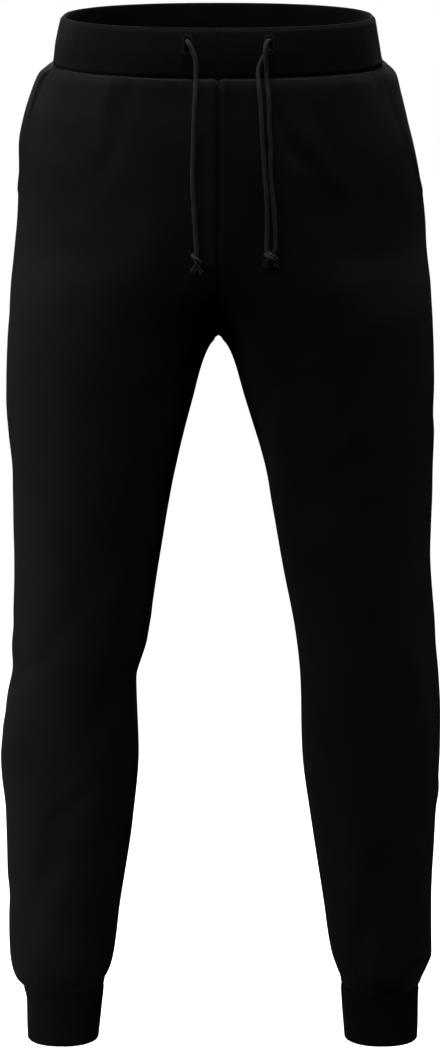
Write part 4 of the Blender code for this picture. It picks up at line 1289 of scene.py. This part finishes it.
rib_knit = knit_material(
    "black_rib_knit",
    dark=(0.0032, 0.0032, 0.0035),
    light=(0.0046, 0.0046, 0.0049),
    roughness=0.90,
    sheen=0.036,
    wale_width=0.0014,
    course_height=0.0010,
    stitch_depth=0.00016,
    fibre_depth=0.00022,
)

# Painted shade: the knit's colour is darkened towards deep black on the inner face and in the rows next to
# the waist seam, where the attribute that also sets the ribs' depth is low.
paint_shade_by(rib_knit, "ribs_and_light")

RIM_ROWS = 7  # rows of points that take a tube's section round its folded edge
RIM_TURNS = np.linspace(0, math.pi, RIM_ROWS + 2)[1:-1]
# Both also set painted shade: the knit's colour is darker on the inner face and in the rows next to the waist
# seam.
INSIDE_RIBS_AND_LIGHT = 0.35  # how strongly the ribs show on the inner face
SEAM_RIBS_AND_LIGHT = 0.3  # and in the rows next to the waist seam


def tube_mesh(name, grid, rounds, ribs_and_light, lay_down):
    """A closed band from loops that go round a hollow and follow the band's section out and in."""
    loops, cols = grid.shape[:2]
    r, c = (index.ravel() for index in np.indices((loops, cols)))
    r2, c2 = (r + 1) % loops, (c + 1) % cols
    faces = np.stack([r * cols + c, r2 * cols + c, r2 * cols + c2, r * cols + c2], axis=1)
    wide = np.append(rounds, rounds[-1] + rounds[1] - rounds[0])
    down = np.append(lay_down, lay_down[-1])
    across = np.stack([wide[c], wide[c], wide[c + 1], wide[c + 1]], axis=1)
    along = np.stack([down[r], down[r + 1], down[r + 1], down[r]], axis=1)
    mesh = closed_mesh(name, grid.reshape(-1, 3), faces, np.stack([across, along], axis=-1))
    give_attribute(mesh, "round", np.broadcast_to(rounds, (loops, cols)))
    give_attribute(mesh, "ribs_and_light", np.broadcast_to(ribs_and_light[:, None], (loops, cols)))
    return mesh


def band_section():
    """The band's section from the waist seam up its outer face, over the rim and down its inner face."""
    top_soft = BAND_WALL * 0.42
    up = np.linspace(WAIST_SEAM, RIM_HEIGHT - top_soft, 42)
    part = (up - WAIST_SEAM) / (RIM_HEIGHT - WAIST_SEAM)
    fold = np.clip((up - RIM_HEIGHT + top_soft + BAND_FOLD_TALL) / BAND_FOLD_TALL, 0, 1)
    lean_back = BAND_FOLD_DEEP * (1 - np.sqrt(1 - (0.95 * fold) ** 2))
    bulge = BAND_BULGE * np.sin(np.pi * part) ** 0.5
    outer = list(zip(up, BAND_TUCK * bell(up - WAIST_SEAM, BAND_TUCK_HEIGHT) + lean_back - bulge))
    first = outer[-1][1]
    rim = [
        (RIM_HEIGHT - top_soft + top_soft * math.sin(a), first + (BAND_WALL - first) / 2 * (1 - math.cos(a)))
        for a in RIM_TURNS
    ]
    down = np.linspace(RIM_HEIGHT - top_soft, WAIST_SEAM, 14)
    inner_part = math.pi * (down - WAIST_SEAM) / (RIM_HEIGHT - WAIST_SEAM)
    inner = list(zip(down, BAND_WALL + BAND_INNER_BULGE * np.sin(inner_part)))
    return np.array(outer + rim + inner), len(outer)


def buttonhole_sink(x, height, side):
    """How deep the buttonhole sinks the band's face, less the raised edge round it."""
    up = np.maximum(0, np.abs(height - BUTTONHOLE_HEIGHT) - BUTTONHOLE_STRAIGHT)
    away = np.hypot(x - BUTTONHOLE_X[side], up) - BUTTONHOLE_WIDTH / 2
    sink = BUTTONHOLE_DEPTH * (1 - smooth_step((away + 0.0016) / BUTTONHOLE_EDGE))
    return sink - BUTTONHOLE_LIP * bell(away - 0.0012, BUTTONHOLE_LIP_WIDTH)


def rib_tube(name, quarters, girth_level, step, section, outer_count, waves, ribs, sunk=None, seam_rows=0):
    """A rib-knit tube round a hollow. Returns it and its girth.

    quarters are the side, face and direction of each stretch round it. section holds the heights and
    depths of its rows, of which outer_count are on its outer face. ribs are their pitch and depth.
    """
    levels, depths = section[:, 0], section[:, 1:]
    grids, rounds, far = [], [], 0.0
    for side, face, backwards in quarters:
        girth = float(half_girths(side, face, girth_level)[0])
        part = np.linspace(0, 1, round(girth / step), endpoint=False)
        around = far + girth * part
        shares = np.broadcast_to(1 - part if backwards else part, (len(levels), len(part)))
        bare = bare_points(side, face, levels, shares)
        depth = np.broadcast_to(depths, shares.shape).copy()
        for rise, wide, shift, tall, seed in waves:
            depth -= rise * soft_noise(around / wide + shift, levels[:, None] / tall, seed)
        if sunk and face == "front":
            depth[:outer_count] += sunk(bare[:outer_count, :, 0], bare[:outer_count, :, 2], side)
        grids.append(bare - outward(side, face, levels, shares) * depth[..., None])
        rounds.append(around)
        far += girth
    # This attribute sets both the ribs' depth and the painted shade in the knit's colour.
    ribs_and_light = np.where(np.arange(len(section)) < outer_count + RIM_ROWS, 1.0, INSIDE_RIBS_AND_LIGHT)
    ribs_and_light[:seam_rows] = SEAM_RIBS_AND_LIGHT
    grid, rounds = np.concatenate(grids, axis=1), np.concatenate(rounds)
    mesh = tube_mesh(name, grid, rounds, ribs_and_light, lengths_along(section))
    settings = {"Rib Pitch": ribs[0], "Rib Depth": ribs[1], "Finish": rib_knit}
    return grown(placed(name + "_rib", mesh), rib_relief, settings), far


band, band_girth = rib_tube(
    "waistband",
    (("right", "front", True), ("right", "back", False), ("left", "back", True), ("left", "front", False)),
    0.0,
    BAND_COLUMN_STEP,
    *band_section(),
    BAND_WAVES,
    (BAND_RIB_PITCH, BAND_RIB_DEPTH),
    sunk=buttonhole_sink,
    seam_rows=3,
)
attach(band, "root")
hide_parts("waistband")

# ---------------------------------------------------------------------------------------------
# Cuffs: a tube of doubled rib knit round each ankle, about 56 mm deep, folded at its hem and
# overlocked to the gathered end of the leg.
# ---------------------------------------------------------------------------------------------
CUFF_WALL = 0.003
CUFF_RIB_PITCH = 0.0030
CUFF_RIB_DEPTH = 0.00035
CUFF_COLUMN_STEP = 0.0006
CUFF_WAVES = ((0.0006, 0.020, 4, 0.03, 71),)
CUFF_BULGE = 0.0004
CUFF_TOP = CUFF_SEAM - 0.0002
CUFF_MIDDLE = -0.980


def cuff_section():
    """The cuff's section from the cuff seam down its outer face, round the hem and up its inner face."""
    soft = CUFF_WALL * 0.55
    down = np.linspace(CUFF_TOP, HEM + soft, 34)
    outer = list(zip(down, CUFF_TUCK * bell(CUFF_SEAM - down, TUCK_HEIGHT) - CUFF_BULGE))
    hem = [(HEM + soft - soft * math.sin(a), CUFF_WALL / 2 * (1 - math.cos(a)) - 0.0002) for a in RIM_TURNS]
    up = np.linspace(HEM + soft, CUFF_TOP, 12)
    inner = [(h, CUFF_WALL) for h in up]
    return np.array(outer + hem + inner), len(outer)


for side in SIDES:
    cuff, cuff_girth = rib_tube(
        "cuff_" + side,
        ((side, "front", False), (side, "back", True)),
        CUFF_MIDDLE,
        CUFF_COLUMN_STEP,
        *cuff_section(),
        CUFF_WAVES,
        (CUFF_RIB_PITCH, CUFF_RIB_DEPTH),
    )
    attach(cuff, "root")
    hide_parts("cuff_" + side)

# ---------------------------------------------------------------------------------------------
# Stitching: black polyester thread. Two rows hold each pocket mouth, with a bar tack at its ends,
# a row runs down each side of the middle seam, and buttonhole stitch edges the two cord holes.
# ---------------------------------------------------------------------------------------------
THREAD_WIDTH = 0.00042
STITCH_LENGTH = 0.0026
STITCH_PITCH = 0.0031

thread_stitches, stitch_in, stitch_out = new_group(
    "thread_stitches",
    "GeometryNodeTree",
    (
        ("Geometry", "Geometry"),
        ("Stitch Pitch", "Float", STITCH_PITCH),
        ("Stitch Length", "Float", STITCH_LENGTH),
        ("Thread Width", "Float", THREAD_WIDTH),
        ("Finish", "Material"),
    ),
    (("Geometry", "Geometry"),),
)
seam_line = add_node(thread_stitches, "GeometryNodeMeshToCurve", {"Mesh": stitch_in["Geometry"]})
stitch_places = add_node(
    thread_stitches,
    "GeometryNodeResampleCurve",
    {"Curve": seam_line.outputs[0], "Length": stitch_in["Stitch Pitch"]},
    mode="LENGTH",
)
stitch_way = add_node(
    thread_stitches, "GeometryNodeInputNamedAttribute", {"Name": "lie"}, data_type="FLOAT_VECTOR"
)
stitch_turn = add_node(
    thread_stitches,
    "FunctionNodeAlignRotationToVector",
    {"Vector": stitch_way.outputs["Attribute"]},
    axis="Z",
)
half_width = reckon(thread_stitches, "MULTIPLY", stitch_in["Thread Width"], 0.5)
half_length = reckon(thread_stitches, "MULTIPLY", stitch_in["Stitch Length"], 0.5)
stitch_size = add_node(
    thread_stitches, "ShaderNodeCombineXYZ", {"X": half_width, "Y": half_width, "Z": half_length}
)
thread_loop = add_node(
    thread_stitches, "GeometryNodeMeshUVSphere", {"Segments": 6, "Rings": 5, "Radius": 1.0}
)
sewn = add_node(
    thread_stitches,
    "GeometryNodeInstanceOnPoints",
    {
        "Points": stitch_places.outputs[0],
        "Instance": thread_loop.outputs[0],
        "Rotation": stitch_turn.outputs[0],
        "Scale": stitch_size.outputs[0],
    },
)
end_tree(thread_stitches, sewn.outputs[0], stitch_in["Finish"], stitch_out["Geometry"])

black_thread = cotton_material(
    "black_thread",
    dark=(0.008, 0.008, 0.009),
    light=(0.013, 0.013, 0.014),
    roughness=0.6,
    sheen=0.03,
    patch_size=0.004,
    fibre_size=0.0003,
    fibre_depth=0.00004,
)[0]


def sew(name, lines, pitch=STITCH_PITCH, length=STITCH_LENGTH, width=THREAD_WIDTH):
    """Stitches along lines of points. Each line is its points and the way that a stitch lies there."""
    points, edges, lies = [], [], []
    for places, lie in lines:
        first = len(points)
        points += places.tolist()
        edges += [(first + k, first + k + 1) for k in range(len(places) - 1)]
        lies.append(np.gradient(places, axis=0) if lie is None else lie)
    mesh = bpy.data.meshes.new(name)
    mesh.from_pydata(points, edges, [])
    lie = mesh.attributes.new("lie", "FLOAT_VECTOR", "POINT")
    lie.data.foreach_set("vector", np.concatenate(lies).astype(np.float32).ravel())
    settings = {"Stitch Pitch": pitch, "Stitch Length": length, "Thread Width": width, "Finish": black_thread}
    piece = grown(placed(name, mesh), thread_stitches, settings)
    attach(piece, "root")


def seam_points(side, face, levels, distance, from_inner=False):
    """Points on the cloth's face along a seam, at a distance from the side seam or the inner seam."""
    even = steady_curve(levels, even_levels, even_girths[side, face])
    share = (1 - distance / even) if from_inner else distance / even
    return cloth_points(side, face, levels, share[:, None], -THREAD_WIDTH * 0.12)[:, 0]


MOUTH_ROWS = (0.0022, 0.0076)  # the rows of stitches behind the mouth's folded edge
TACK_PLACES = (WAIST_SEAM - 0.0065, POCKET_MOUTH_BOTTOM + 0.0105)
TACK_HALF_LENGTH = 0.0045
TACK_INSET = 0.0034

for side in SIDES:
    levels = np.linspace(WAIST_SEAM - 0.003, POCKET_MOUTH_BOTTOM + 0.004, 90)
    lines = [(seam_points(side, "front", levels, mouth_width(levels) + inset), None) for inset in MOUTH_ROWS]
    sew("pocket_stitches_" + side, lines)
    tacks = []
    for level in TACK_PLACES:
        bar = level + np.linspace(-TACK_HALF_LENGTH, TACK_HALF_LENGTH, 12)
        middle = seam_points(side, "front", bar, mouth_width(bar) + TACK_INSET)
        ahead = seam_points(side, "front", bar, mouth_width(bar) + TACK_INSET + 0.0020)
        tacks.append((middle, ahead - middle))
    sew("pocket_tacks_" + side, tacks, pitch=0.00065, length=0.0030)

middle_levels = np.linspace(WAIST_SEAM - 0.003, CROTCH + 0.012, 120)
for face in ("front", "back"):
    lines = [(seam_points(side, face, middle_levels, SEAM_STITCH_OFFSET, True), None) for side in SIDES]
    sew("middle_stitches_" + face, lines)

BUTTONHOLE_STITCH_AWAY = 0.0010
BUTTONHOLE_STITCH_LIFT = 0.0009

buttonholes = []
for side, x in BUTTONHOLE_X.items():
    turn = np.linspace(0, 2 * math.pi, 73)
    away = BUTTONHOLE_WIDTH / 2 + BUTTONHOLE_STITCH_AWAY
    out = np.stack([np.cos(turn), np.zeros_like(turn), np.sin(turn)], axis=1)
    rise = away * out[:, 2] + BUTTONHOLE_STRAIGHT * np.sign(out[:, 2].round(6))
    places = np.stack([x + away * out[:, 0], turn * 0, BUTTONHOLE_HEIGHT + rise], axis=1)
    places[:, 1] = [front_y(px, pz) - BAND_BULGE - BUTTONHOLE_STITCH_LIFT for px, _, pz in places]
    buttonholes.append((places, out))
sew("buttonhole_stitches", buttonholes, pitch=0.00055, length=0.0024, width=0.00050)
